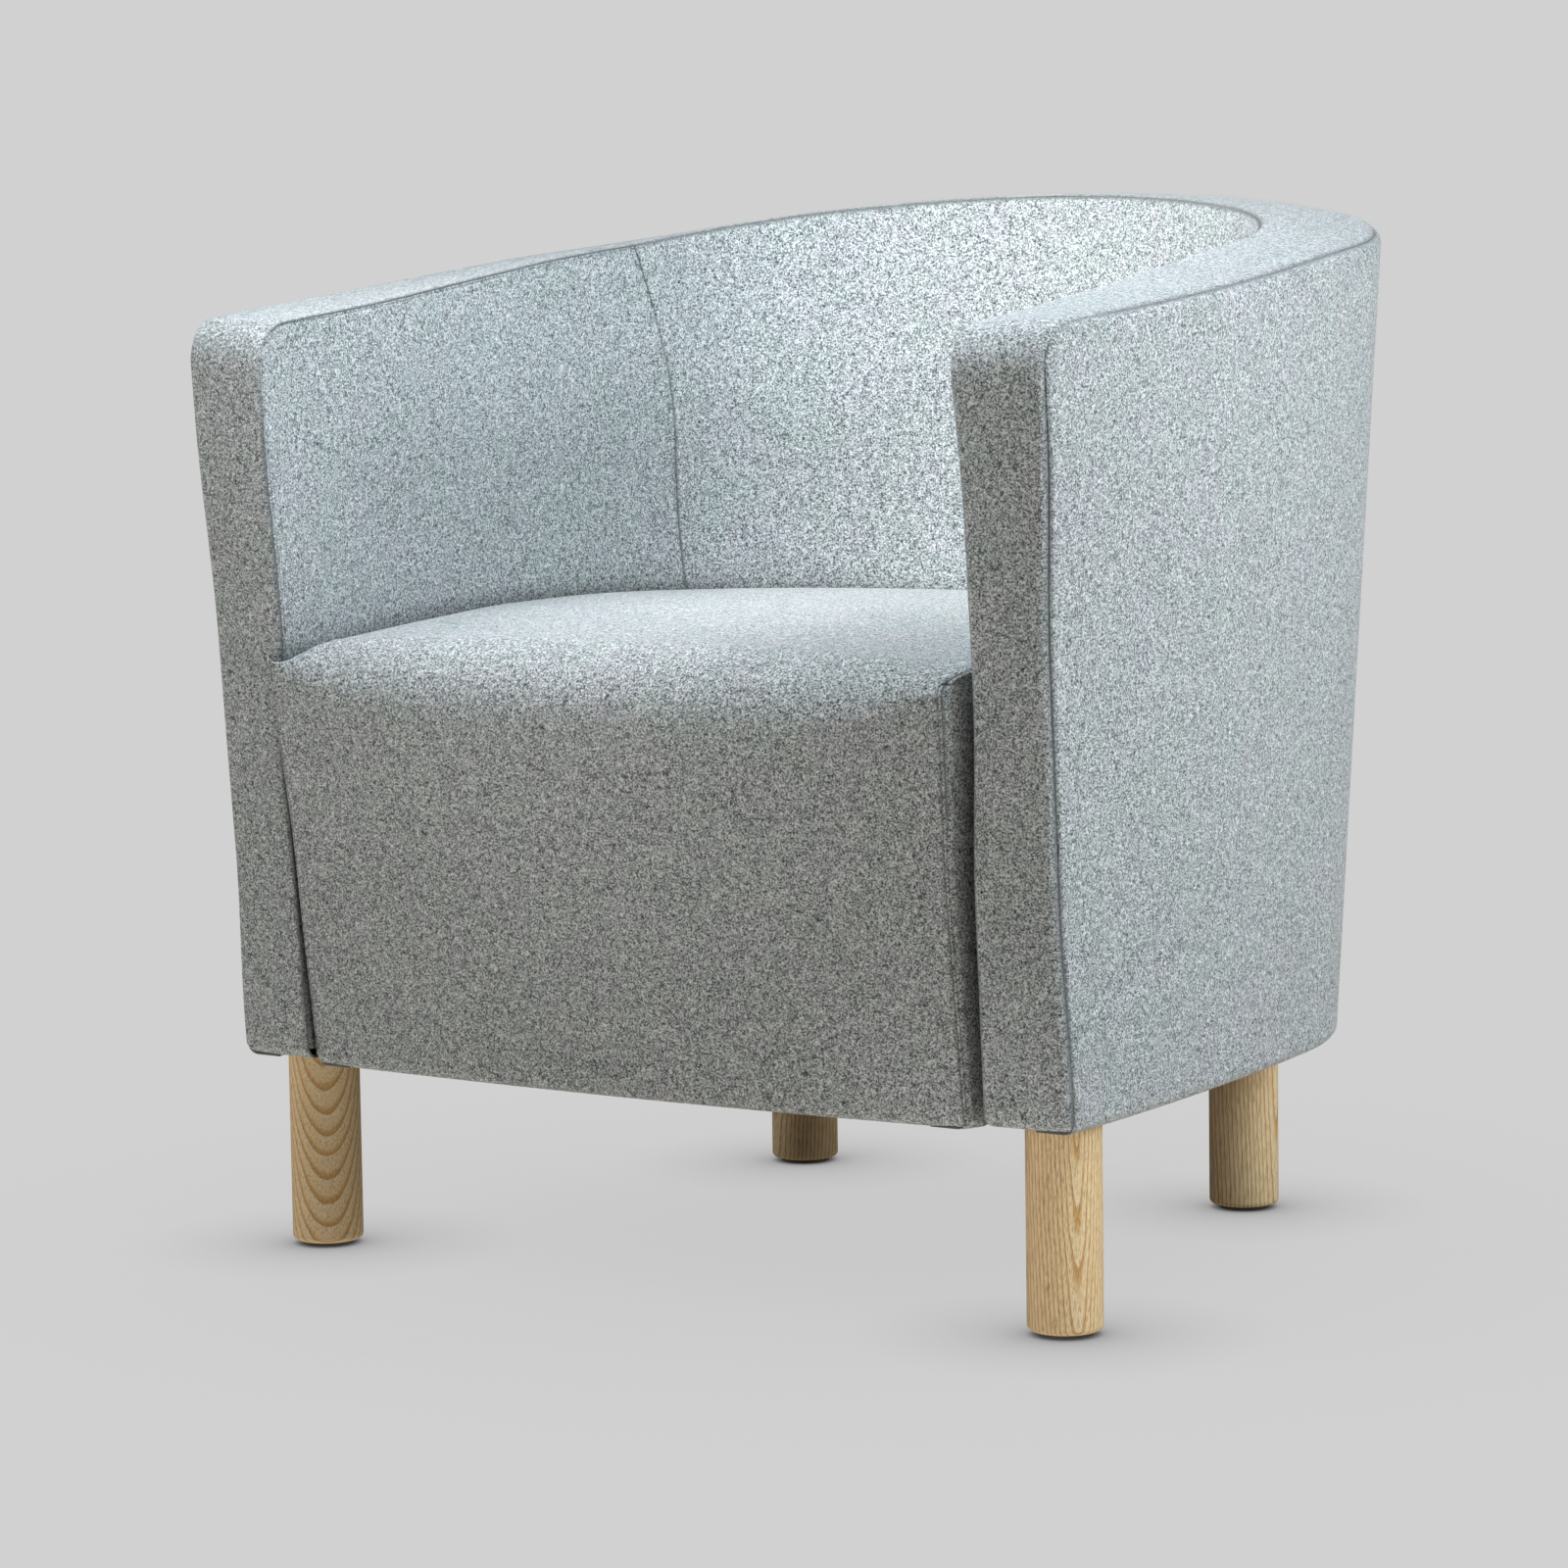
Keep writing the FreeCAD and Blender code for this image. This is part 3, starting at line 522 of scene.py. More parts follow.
def finished(name, shape, material, flip=False):
    """An object from a bmesh, with smooth faces."""
    if flip:
        bmesh.ops.reverse_faces(shape, faces=shape.faces)
    for face in shape.faces:
        face.smooth = True
    mesh = bpy.data.meshes.new(name)
    shape.to_mesh(mesh)
    shape.free()
    mesh.materials.append(material)
    piece = bpy.data.objects.new(name, mesh)
    bpy.context.scene.collection.objects.link(piece)
    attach(piece, "root")
    return piece


def cloth(name, columns, rows, place, seam_pull_and_painted_shade, flip=False):
    """A panel of the cover: a sheet of felt with its thickness on the inside."""
    piece = finished(name, grid_shape(columns, rows, place, seam_pull_and_painted_shade), wool_felt, flip)
    thick = piece.modifiers.new("felt thickness", "SOLIDIFY")
    thick.thickness = cloth_thickness * MM
    thick.offset = -1.0
    return piece


def bead(name, distances, path, radius):
    """A stitched edge: a thin roll of felt along a path, with a radius that may change on the way."""
    sides = 8
    near = 1.0
    weld_m = 1e-6
    no_seam_way = Vector((0.6, 0.64, 0.48))
    angles = [2 * math.pi * i / sides for i in range(sides + 1)]

    def place(distance, angle):
        ahead = path(min(distance + near, distances[-1]))
        behind = path(max(distance - near, distances[0]))
        way = (ahead - behind).normalized()
        side = way.cross(no_seam_way).normalized()
        up = side.cross(way)
        return path(distance) + (side * math.cos(angle) + up * math.sin(angle)) * radius(distance)

    shape = grid_shape(distances, angles, place)
    bmesh.ops.remove_doubles(shape, verts=shape.verts, dist=weld_m)
    bmesh.ops.holes_fill(shape, edges=shape.edges, sides=sides)
    bmesh.ops.recalc_face_normals(shape, faces=shape.faces)
    piece = finished(name, shape, wool_felt)


# Materials

wave_turn = 2 * math.pi / 20  # one wave of the wave texture at scale 1
mix_first = 6  # sockets of a Mix node's colours
mix_second = 7
mix_result = 2


def linear(hex_colour):
    """An sRGB hex colour as linear light."""
    parts = [int(hex_colour[i:i + 2], 16) / 255 for i in (1, 3, 5)]
    return [p / 12.92 if p <= 0.04045 else ((p + 0.055) / 1.055) ** 2.4 for p in parts] + [1.0]


def add(tree, kind, output, inputs=None, **settings):
    """The output of a new node, after its settings are made and its inputs are set or linked."""
    made = tree.nodes.new(kind)
    for name, value in settings.items():
        setattr(made, name, value)
    for name, value in (inputs or {}).items():
        if isinstance(value, bpy.types.NodeSocket):
            tree.links.new(value, made.inputs[name])
        else:
            made.inputs[name].default_value = value
    return made.outputs[output]


class Look:
    """A node material in the making. Its textures lie in the piece's own frame, with sizes in millimetres."""

    def __init__(self, name):
        self.material = bpy.data.materials.new(name)
        self.material.use_nodes = True
        self.tree = self.material.node_tree
        self.tree.nodes.clear()
        self.surface = self.tree.nodes.new("ShaderNodeOutputMaterial").inputs["Surface"]
        self.place = self.add("ShaderNodeTexCoord", "Object")

    def add(self, kind, output, inputs=None, **settings):
        return add(self.tree, kind, output, inputs, **settings)

    def noise(self, size, detail, roughness=0.5, distortion=0.0):
        """Noise with marks of about a size."""
        return self.add("ShaderNodeTexNoise", "Fac",
                        {"Vector": self.place, "Scale": 1000.0 / size, "Detail": detail,
                         "Roughness": roughness, "Distortion": distortion})

    def cells(self, size, randomness=1.0):
        """The distance from the middle of the nearest cell, in cells of about a size."""
        return self.add("ShaderNodeTexVoronoi", "Distance",
                        {"Vector": self.place, "Scale": 1000.0 / size, "Randomness": randomness})

    def bands(self, size, direction, distortion=0.0):
        """Alternate light and dark bands of a size, one after the other along an axis."""
        return self.add("ShaderNodeTexWave", "Fac",
                        {"Vector": self.place, "Scale": wave_turn / 2 * 1000.0 / size,
                         "Distortion": distortion}, bands_direction=direction)

    def ramp(self, value, *stops):
        """A colour for each value, by (value, hex colour) stops."""
        colour = self.add("ShaderNodeValToRGB", "Color", {"Fac": value})
        elements = colour.node.color_ramp.elements
        while len(elements) < len(stops):
            elements.new(0.5)
        for element, (position, hex_colour) in zip(elements, stops):
            element.position = position
            element.color = linear(hex_colour)
        return colour

    def blend(self, share, first, second):
        """A value between two others."""
        return self.add("ShaderNodeMix", "Result", {"Factor": share, "A": first, "B": second})

    def mix_colours(self, share, first, second, blend_type="MIX"):
        return self.add("ShaderNodeMix", mix_result, {"Factor": share, mix_first: first, mix_second: second},
                        data_type="RGBA", blend_type=blend_type)

    def relief(self, height, strength, depth):
        """The normals of a surface with marks of a depth."""
        return self.add("ShaderNodeBump", "Normal",
                        {"Strength": strength, "Distance": depth * MM, "Height": height})

    def finish(self, inputs):
        """Ends the material in its shader."""
        self.tree.links.new(self.add("ShaderNodeBsdfPrincipled", "BSDF", inputs), self.surface)
        return self.material


def make_wool_felt():
    """Felted wool: light and dark fibres carded together and fulled, which gives a salt-and-pepper fleck.

    It has shade painted into its colour: darker along a seam, where the stitches draw it into a crease, and
    deep in a crevice.
    """
    look = Look("felted wool melange")
    fleck_mm = 1.3
    tuft_mm = 3.5
    tuft_share = 0.2
    cloud_mm = 40.0
    painted_crevice_shade_mm = 16.0
    painted_crevice_shade_least = 0.2
    nap_mm = 0.8
    fleck = look.noise(fleck_mm, detail=2.0, roughness=0.7)
    fibres = look.ramp(look.blend(tuft_share, fleck, look.noise(tuft_mm, detail=1.0)),
                       (0.34, "#2f3334"), (0.46, "#8f9596"), (0.54, "#ccd1d2"), (0.66, "#ffffff"))
    drift = look.ramp(look.noise(cloud_mm, detail=2.0), (0.35, "#eef3f1"), (0.65, "#f2f1f4"))
    # Painted shade in crevices: an occlusion node darkens the felt's colour, down to a fifth of it where
    # fully hidden.
    crevice_occlusion = look.add("ShaderNodeAmbientOcclusion", "AO", {"Distance": painted_crevice_shade_mm * MM}, samples=4)
    light = look.add("ShaderNodeMapRange", "Result", {"Value": crevice_occlusion, "To Min": painted_crevice_shade_least})
    colour = look.mix_colours(1.0, look.mix_colours(1.0, fibres, drift, "MULTIPLY"), light, "MULTIPLY")
    # Painted shade of the seams: the colour goes toward a dark grey by each point's seam attribute
    seam_pull_and_painted_shade = look.add("ShaderNodeAttribute", "Fac", attribute_name="seam_pull_and_painted_shade")
    return look.finish({"Base Color": look.mix_colours(seam_pull_and_painted_shade, colour, linear("#6a6e6f")), "Roughness": 0.95,
                        "Specular IOR Level": 0.15, "Sheen Weight": 0.2, "Sheen Roughness": 0.45,
                        "Normal": look.relief(fleck, strength=1.0, depth=nap_mm)})


def make_ash(name, leg, face, pith, lean):
    """Ash, turned and matt lacquered: the open early wood of each year makes a darker line.

    Where the wood was cut at a slant to its rings, a round leg shows them as nested bows. The bows face
    an angle in plan, the pith lies that far in front of the leg's middle, and it leans back by an angle.
    """
    look = Look(name)
    ring_mm = 3.0
    pore_mm = 0.35
    pore_stretch = 30.0
    pore_share = 0.8
    way = Vector((math.cos(math.radians(face)), math.sin(math.radians(face)), 0.0))
    tilt = math.radians(lean)
    look.place = look.add("ShaderNodeMapping", "Vector",
                          {"Vector": look.place, "Location": (leg + way * pith) * MM,
                           "Rotation": (tilt * way.y, -tilt * way.x, 0.0)}, vector_type="TEXTURE")
    rings = look.add("ShaderNodeTexWave", "Fac",
                     {"Vector": look.place, "Scale": wave_turn * 1000.0 / ring_mm, "Distortion": 2.2,
                      "Detail": 2.0, "Detail Scale": 0.25},
                     wave_type="RINGS", rings_direction="Z", wave_profile="SAW")
    years = look.ramp(rings, (0.0, "#d0a368"), (0.16, "#dfb67c"), (0.34, "#f3d9a8"), (0.94, "#f8e1b8"),
                      (1.0, "#d0a368"))
    look.place = look.add("ShaderNodeMapping", "Vector",
                          {"Vector": look.place, "Scale": (1.0, 1.0, pore_stretch)}, vector_type="TEXTURE")
    pores = look.noise(pore_mm, detail=2.0)
    dashes = look.ramp(pores, (0.34, "#b9a184"), (0.52, "#ffffff"))
    colour = look.mix_colours(pore_share, years, dashes, "MULTIPLY")
    return look.finish({"Base Color": colour, "Roughness": 0.55, "Specular IOR Level": 0.3,
                        "Normal": look.relief(pores, strength=0.25, depth=0.2)})


def make_plywood():
    """Birch plywood: sawn edges show the plies as alternate pale and brown lines."""
    look = Look("birch plywood")
    ply_mm = 1.5
    grain_mm = 2.0
    grain_share = 0.4
    grain = look.noise(grain_mm, detail=3.0)
    tone = look.blend(grain_share, look.bands(ply_mm, "Z", distortion=0.4), grain)
    colour = look.ramp(tone, (0.15, "#a98459"), (0.55, "#d2b285"), (0.85, "#e0c79f"))
    normal = look.relief(grain, strength=0.3, depth=0.2)
    return look.finish({"Base Color": colour, "Roughness": 0.7, "Normal": normal})


def make_beech():
    """Turned beech: even pinkish wood with short darker rays."""
    look = Look("turned beech")
    ray_mm = 0.8
    colour = look.ramp(look.cells(ray_mm), (0.05, "#a97b52"), (0.4, "#cfa57a"))
    return look.finish({"Base Color": colour, "Roughness": 0.6})


def make_hardboard():
    """Hardboard: pressed wood fibre, an even brown with a fine felted fleck."""
    look = Look("pressed hardboard")
    fibre_mm = 1.2
    fibres = look.noise(fibre_mm, detail=4.0, distortion=1.0)
    colour = look.ramp(fibres, (0.35, "#5a4029"), (0.65, "#8a6744"))
    normal = look.relief(fibres, strength=0.4, depth=0.3)
    return look.finish({"Base Color": colour, "Roughness": 0.65, "Normal": normal})


def make_zinc_steel():
    """Zinc plated steel: bright, with the faint bluish mottling of passivated zinc."""
    look = Look("zinc plated steel")
    mottle_mm = 2.5
    colour = look.ramp(look.noise(mottle_mm, detail=2.0), (0.35, "#a3a8ad"), (0.65, "#c2c6c8"))
    return look.finish({"Base Color": colour, "Metallic": 1.0, "Roughness": 0.35})


def make_nylon():
    """Moulded nylon: dull grey brown with a fine spark-eroded texture from its mould."""
    look = Look("moulded nylon")
    texture_mm = 0.8
    grain = look.noise(texture_mm, detail=3.0)
    colour = look.ramp(grain, (0.3, "#4c4741"), (0.7, "#5d574f"))
    normal = look.relief(grain, strength=0.4, depth=0.1)
    return look.finish({"Base Color": colour, "Roughness": 0.5, "Normal": normal})


def make_webbing():
    """Elastic webbing: black rubber threads under a plain weave, with paler lines across."""
    look = Look("woven elastic webbing")
    thread_mm = 2.0
    threads = {0: look.bands(thread_mm, "X"), 1: look.bands(thread_mm, "Y")}
    weave = look.add("ShaderNodeMath", "Value", threads, operation="MULTIPLY")
    colour = look.ramp(weave, (0.1, "#1d1d1e"), (0.8, "#4a4948"))
    normal = look.relief(weave, strength=0.6, depth=0.5)
    return look.finish({"Base Color": colour, "Roughness": 0.85, "Normal": normal})


def make_lining_cloth():
    """Spunbonded lining: thin black fibre cloth, pressed together in a grid of small points."""
    look = Look("black spunbonded cloth")
    point_mm = 2.5
    points = look.cells(point_mm, randomness=0.15)
    colour = look.ramp(points, (0.15, "#0b0b0c"), (0.45, "#1d1d1e"))
    normal = look.relief(points, strength=0.5, depth=0.3)
    return look.finish({"Base Color": colour, "Roughness": 0.9, "Normal": normal})


wool_felt = make_wool_felt()


def dress_frame():
    """Gives every CAD part that stays in sight, or inside the covers, its material."""
    finishes = {"nylon": make_nylon(), "steel": make_zinc_steel(), "plywood": make_plywood(),
                "beech": make_beech(), "hardboard": make_hardboard(), "webbing": make_webbing(),
                "lining_cloth": make_lining_cloth()}
    front = Vector((306.0, -250.0, 70.0))
    rear = Vector((192.0, 188.0, 70.0))
    legs = {"leg_front_right": make_ash("ash front right", front, face=-39.0, pith=32.0, lean=3.8),
            "leg_front_left": make_ash("ash front left", mirrored(front), face=-51.0, pith=-40.0, lean=10.5),
            "leg_rear_right": make_ash("ash rear right", rear, face=10.0, pith=55.0, lean=2.0),
            "leg_rear_left": make_ash("ash rear left", mirrored(rear), face=-120.0, pith=60.0, lean=3.0)}
    for part in frame["record"]["subparts"]:
        finish = legs.get(part["node"]) or finishes.get(part["material_slot"])
        if finish:
            materials = frame["nodes"][part["node"]].data.materials
            for index in range(len(materials)):
                materials[index] = finish


dress_frame()


# Bottom edges: cloth that turns under in a small arc and ends in a flap

turn_depth = bottom_edge_radius * math.pi / 2


def turned_under(depth):
    """(inset, rise) of the turned edge, by the depth of cloth below the wall's first full point."""
    if depth <= turn_depth:
        angle = depth / bottom_edge_radius
        return bottom_edge_radius * (1 - math.cos(angle)), bottom_edge_radius * (1 - math.sin(angle))
    return bottom_edge_radius + depth - turn_depth, 0.0


turn_rows = [-turn_depth - under_flap, -turn_depth - under_flap / 2]
turn_rows += [-turn_depth * (1 - i / turn_steps) for i in range(turn_steps)]


# Outer cover: one piece from arm front to arm front, turned under at the bottom

outer_middle_z = 400.0
outer_nominal = half_length(outer_middle_z, share_at(0, front_y(outer_middle_z), outer_middle_z, 0.0))
outer_height = 560.0


def outer_place(column, row):
    """A point of the outer cover: column is the way round from the back's middle, row is the way up."""
    share = 1.0 - abs(column) / outer_nominal
    z = shell_z + max(row, 0.0)
    low = shell_z + bottom_edge_radius
    for _ in range(outer_rounds):
        start_y = front_y(z) + outer_edge(front_y(z), z).side_end
        first = share_at(0, start_y, z, 0.0)
        distance = half_length(z, first) * share
        y = wall_point(distance, z, 0.0, first).y
        edge = outer_edge(y, z)
        behind = (y - front_y(z)) * arm_profile.front_way.y
        top = outer_rim_z(y) - edge.side_end
        if y <= rim_first_y:
            top = arm_profile.corner_top(behind, edge.side_end)
        z = low if row < 0 else mix(low, top, row / outer_height)
    inset = 0.0
    if row < 0:
        inset, rise = turned_under(-row)
        z = shell_z + rise
    deep = arm_profile.inside(Vector((y, z)), outer_rim_z(y) - z)
    inset += edge.side_fall(deep) + slimmer(outer_waist, y, z)
    point = wall_point(distance, z, inset, share_at(0, start_y, z, inset))
    return point if column > 0 else mirrored(point)


def make_outer_cover():
    columns = stations(-outer_nominal, outer_nominal)
    rows = turn_rows + stations(0.0, outer_height, first=())

    def seam_pull_and_painted_shade(column, row):
        from_end = outer_nominal - abs(column)
        from_top = outer_height - row
        return beside_seam(min(from_end, from_top), max(from_end, from_top))

    piece = cloth("outer_cover_felt", columns, rows, outer_place, seam_pull_and_painted_shade)
    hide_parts("outer_cover", "outer_wadding")


make_outer_cover()


# Border band: up one arm front, round the rim and down the other

band_rim_z = 690.0
band_rim_nominal = half_length(band_rim_z, share_at(0, rim_first_y, band_rim_z, 0.0))
band_foot = bottom_edge_radius / arm_profile.front_way.y
band_half = arm_profile.length - band_foot + band_rim_nominal
band_width = 60.0


def band_surface(along, depth_share):
    """A point of the right half of the band: along from its foot, across from the outer seam to the inner."""
    foot_depth = 0.0
    if along < 0:
        foot_depth = -along
        along = 0.0
    distance = band_foot + along
    on_front = distance <= arm_profile.length
    if on_front:
        (y, z), out = arm_profile.at(distance)
    else:
        y, z, out = rim_first_y, rim_front_z, Vector((-math.sin(rim_slope), math.cos(rim_slope)))
        round_share = (distance - arm_profile.length) / band_rim_nominal
    for _ in range(band_rounds):
        width = inner_depth(y, z)
        edge = outer_edge(y, z)
        slim = slimmer(outer_waist, y, z)
        across = mix(edge.front_end + slim, width - inner_edge.front_end, depth_share)
        if on_front:
            break
        first = share_at(0, rim_first_y, z, across)
        stretch, share = wall_place(half_length(z, first) * round_share, z, first)
        point = ruled_point(stretch, share, z, across)
        level_y = rim_y(stretch, share, z, across)
        y, z = point.y, mix(outer_rim_z(level_y), rim_z(level_y), depth_share)
    fall = edge.front_fall(across - slim) + inner_edge.front_fall(width - across)
    fall -= band_crown * 4 * depth_share * (1 - depth_share)
    if on_front:
        if foot_depth:
            inset, rise = turned_under(foot_depth)
            z = shell_z + rise + band_flap_rise
            y = front_y(z) + inset
        point = Vector((arm_x(y, z, across), y, z))
    return Vector((point.x, y - out.x * fall - inner_lead(y, z) * depth_share,
                   z - out.y * fall - inner_tilt(y, z) * depth_share))


def band_from_corner(along):
    """How far along the band a place is from the arm's soft corner."""
    return abs(along + band_foot - arm_profile.front_length - arm_profile.radius)


def band_place(column, row):
    point = band_surface(band_half - abs(column), row / band_width)
    return point if column > 0 else on_left(point, row / band_width)


def make_border_band():
    front = [band_half - row for row in reversed(turn_rows)]
    right = even(0.0, band_half, band_step) + front
    columns = [-d for d in reversed(right[1:])] + right
    rows = stations(0.0, band_width, step=band_cross_step)

    def seam_pull_and_painted_shade(column, row):
        return beside_seam(min(row, band_width - row), band_from_corner(band_half - abs(column)))

    piece = cloth("border_band_felt", columns, rows, band_place, seam_pull_and_painted_shade)
    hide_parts("border_band", "rim_foam")


make_border_band()


# Linings inside the arms and the back

def lining_top(distance, z, first):
    """Where the lining meets the band, before the band's tilt."""
    stretch, share = wall_place(distance, z, first)
    y = ruled_point(stretch, share, z, wall_depth(z)).y
    if y > rim_first_y:
        return rim_z(rim_y(stretch, share, z, wall_depth(z))) - inner_edge.side_end
    return arm_profile.corner_top((y - front_y(z)) * arm_profile.front_way.y, inner_edge.side_end)


def lining_point(distance, z, start_y, seam_gap):
    """A point of a lining, by its distance round, its height and its distance from the upright seam."""
    depth = wall_depth(z)
    stretch, share = wall_place(distance, z, share_at(0, start_y, z, depth))
    y = ruled_point(stretch, share, z, depth).y
    deep = arm_profile.inside(Vector((y, z)), rim_z(rim_y(stretch, share, z, depth)) - z)
    depth = inner_depth(y, z)
    depth -= inner_edge.side_fall(deep) + lining_crease * crease(seam_gap)
    point = wall_point(distance, z, depth, share_at(0, start_y, z, depth))
    return point - Vector((0.0, inner_lead(point.y, z), inner_tilt(point.y, z)))


arm_lining_length = 420.0
back_lining_half = 360.0
lining_height = 330.0
lining_middle_z = 500.0


def lining_seam_y(z):
    """The upright seam between an arm's lining and the back's: it leans forward, most of all near the rim."""
    bend = max((z - lining_seam_bend_z) / lining_seam_bend_reach, 0.0) ** lining_seam_bend_power
    return lining_seam_low_y - lining_seam_lean * height_share(z) - lining_seam_bend * bend


def lining_place(share, row, seam_gap, from_middle):
    """A point of a lining: its share of the way to the upright seam, from the back's middle or the front."""
    z = lining_middle_z
    for _ in range(lining_rounds):
        start_y = front_y(z) + inner_edge.side_end
        first = share_at(0, start_y, z, wall_depth(z))
        start = half_length(z, first) if from_middle else 0.0
        distance = mix(start, wall_distance(lining_seam_y(z), z, wall_depth(z), first), share)
        z = mix(lining_foot_z, lining_top(distance, z, first), row / lining_height)
    return lining_point(distance, z, start_y, seam_gap)


def right_lining_place(column, row):
    return lining_place(column / arm_lining_length, row, arm_lining_length - column, from_middle=False)


def left_lining_place(column, row):
    return on_left(right_lining_place(column, row))


def back_lining_place(column, row):
    from_seam = back_lining_half - abs(column)
    point = lining_place(abs(column) / back_lining_half, row, from_seam, from_middle=True)
    return point if column > 0 else mirrored(point)


def make_linings():
    rows = stations(0.0, lining_height, first=())
    arm_columns = stations(0.0, arm_lining_length)
    back_columns = stations(-back_lining_half, back_lining_half)

    def upright(distance, row):
        high = eased((row - upright_faint_row) / upright_fade)
        return beside_seam(distance) * mix(1.0, upright_faint, high)

    def arm_seam_shade(column, row):
        from_top = lining_height - row
        edge = beside_seam(min(column, from_top), max(column, from_top))
        return max(upright(arm_lining_length - column, row), edge)

    def back_seam_shade(column, row):
        return max(upright(back_lining_half - abs(column), row), beside_seam(lining_height - row))

    right = cloth("lining_right_felt", arm_columns, rows, right_lining_place, arm_seam_shade, flip=True)
    left = cloth("lining_left_felt", arm_columns, rows, left_lining_place, arm_seam_shade)
    back = cloth("lining_back_felt", back_columns, rows, back_lining_place, back_seam_shade, flip=True)
    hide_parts("lining_right", "wall_foam_right")
    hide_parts("lining_left", "wall_foam_left")
    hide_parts("lining_back", "wall_foam_back")


make_linings()


# Seat: one cover up the front, over the roll and back to the wall

def seat_share(z):
    return (z - shell_z) / (seat_height - shell_z)


def seat_corner(z, end=seat_right):
    """(x, y) of the seat's front corner at one height, both ends as if on the right."""
    y = front_y(z) - mix(seat_proud_low, seat_proud_high, seat_share(z))
    gap = mix(end["gap_low"], end["gap_high"], seat_share(z))
    return Vector((arm_x(y, z, inner_depth(y, z)) - gap, y))


def seat_front_y(side, z):
    """The bowed front, by the share of the way from the middle to the side."""
    bow = mix(seat_bow_low, seat_bow_high, seat_share(z))
    return seat_corner(z).y - bow * (1 - side ** 2)


def crown_z(x, y):
    """The crowned top, which falls more towards the back and droops at its free right front corner."""
    radius = seat_crown_radius if x < 0 else seat_crown_radius_right
    dome = x ** 2 / (2 * radius) + (y - seat_crown_y) ** 2 / (2 * seat_crown_radius)
    behind = max(y - seat_crown_y, 0.0) / seat_back_reach
    corner = seat_corner(seat_edge_z)
    droop = seat_droop * min(max(x / corner.x, 0.0), 1.0) ** seat_end_power
    droop *= (1 - min(max((y - corner.y) / seat_droop_reach, 0.0), 1.0)) ** 2
    return seat_height - dome - seat_back_fall * behind ** 2 - droop


def seat_profile(side):
    """The seat's side view at a share of its half width: front, roll and the start of its top."""
    z = seat_edge_z
    for _ in range(seat_rounds):
        corner = seat_corner(z)
        z = crown_z(corner.x * side, seat_front_y(side, z))
    y = seat_front_y(side, z)
    step = 12.0
    top_way = Vector((step, crown_z(corner.x * side, y + step) - z)).normalized()
    radius = mix(seat_roll_middle, seat_roll_end, abs(side) ** seat_end_power)
    return Profile(Vector((seat_front_y(side, seat_hem_z), seat_hem_z)), Vector((y, z)), top_way, radius)


seat_half = 268.0
seat_reach = seat_edge.front_end
seat_front_height = 300.0
seat_roll_length = 60.0
seat_top_length = 520.0
seat_spread_reach = 130.0
seat_sunk_reach = 260.0
seat_inset = wall_depth(seat_edge_z) + seat_back_clearance
seat_first = share_at(0, front_y(seat_edge_z), seat_edge_z, seat_inset)
side_profile = seat_profile(1.0)


def corner_middle():
    """The way round from the seat's front to the middle of the tub's corner."""
    arm, corner, _ = stretch_lengths(seat_edge_z)
    return arm * (1 - seat_first) + corner / 2


def seat_wall(share, end):
    """The seat's edge from its front corner to the middle of the tub's corner, as if on the right."""
    start = wall_distance(side_profile.arc_end.x, seat_edge_z, seat_inset, seat_first)
    point = wall_point(mix(start, corner_middle(), share), seat_edge_z, seat_inset, seat_first)
    corner_place = seat_corner(seat_edge_z, end)
    spread = corner_place.x + end["flare"] * (point.y - corner_place.y)
    spread = mix(spread, point.x + seat_reach, eased((point.y - corner_place.y) / seat_spread_reach))
    return Vector((min(point.x, spread - seat_reach), point.y))


def seat_back(side):
    """The seat's back edge, from the middle of one tub corner to the other's."""
    middle = half_length(seat_edge_z, seat_first)
    point = wall_point(mix(middle, corner_middle(), abs(side)), seat_edge_z, seat_inset, seat_first)
    return Vector((math.copysign(point.x, side), point.y))


made_profiles = {}


def seat_end_x(z, end):
    """How far the cover reaches to one end at a height, as if on the right."""
    return seat_corner(z, end).x - seat_reach


def seat_front_point(side, end, profile, row, fall, sunk):
    """A point of the seat's front or roll, by its row up from the hem."""
    foot = bottom_edge_radius
    rolled = max(row - seat_front_height, 0.0) / seat_roll_length
    up = foot + (profile.front_length - foot) * min(max(row, 0.0) / seat_front_height, 1.0)
    up += (profile.length - profile.front_length) * rolled
    (y, z), out = profile.at(up)
    if row < 0:
        inset, rise = turned_under(-row)
        z = seat_hem_z + rise
        y = seat_front_y(side, z) + inset
    x = side * seat_end_x(z, end)
    return Vector((x, y - out.x * fall, z - out.y * fall - max(out.y, 0.0) ** 2 * sunk))


def seat_top_spot(side, end, profile, share):
    """(x, y) of a point of the seat's top, spread evenly between its front, its back and its two ends."""
    across = (side + 1) / 2
    front = Vector((side * seat_end_x(profile.arc_end.y, end), profile.arc_end.x))
    right = seat_wall(share, seat_right)
    left = seat_wall(share, seat_left)
    left.x = -left.x
    corner_y, corner_z = side_profile.arc_end
    front_left = Vector((-seat_end_x(corner_z, seat_left), corner_y))
    front_right = Vector((seat_end_x(corner_z, seat_right), corner_y))
    front_straight = front_left.lerp(front_right, across)
    back_straight = seat_back(-1.0).lerp(seat_back(1.0), across)
    spot = front.lerp(seat_back(side), share) + left.lerp(right, across)
    return spot - front_straight.lerp(back_straight, share)


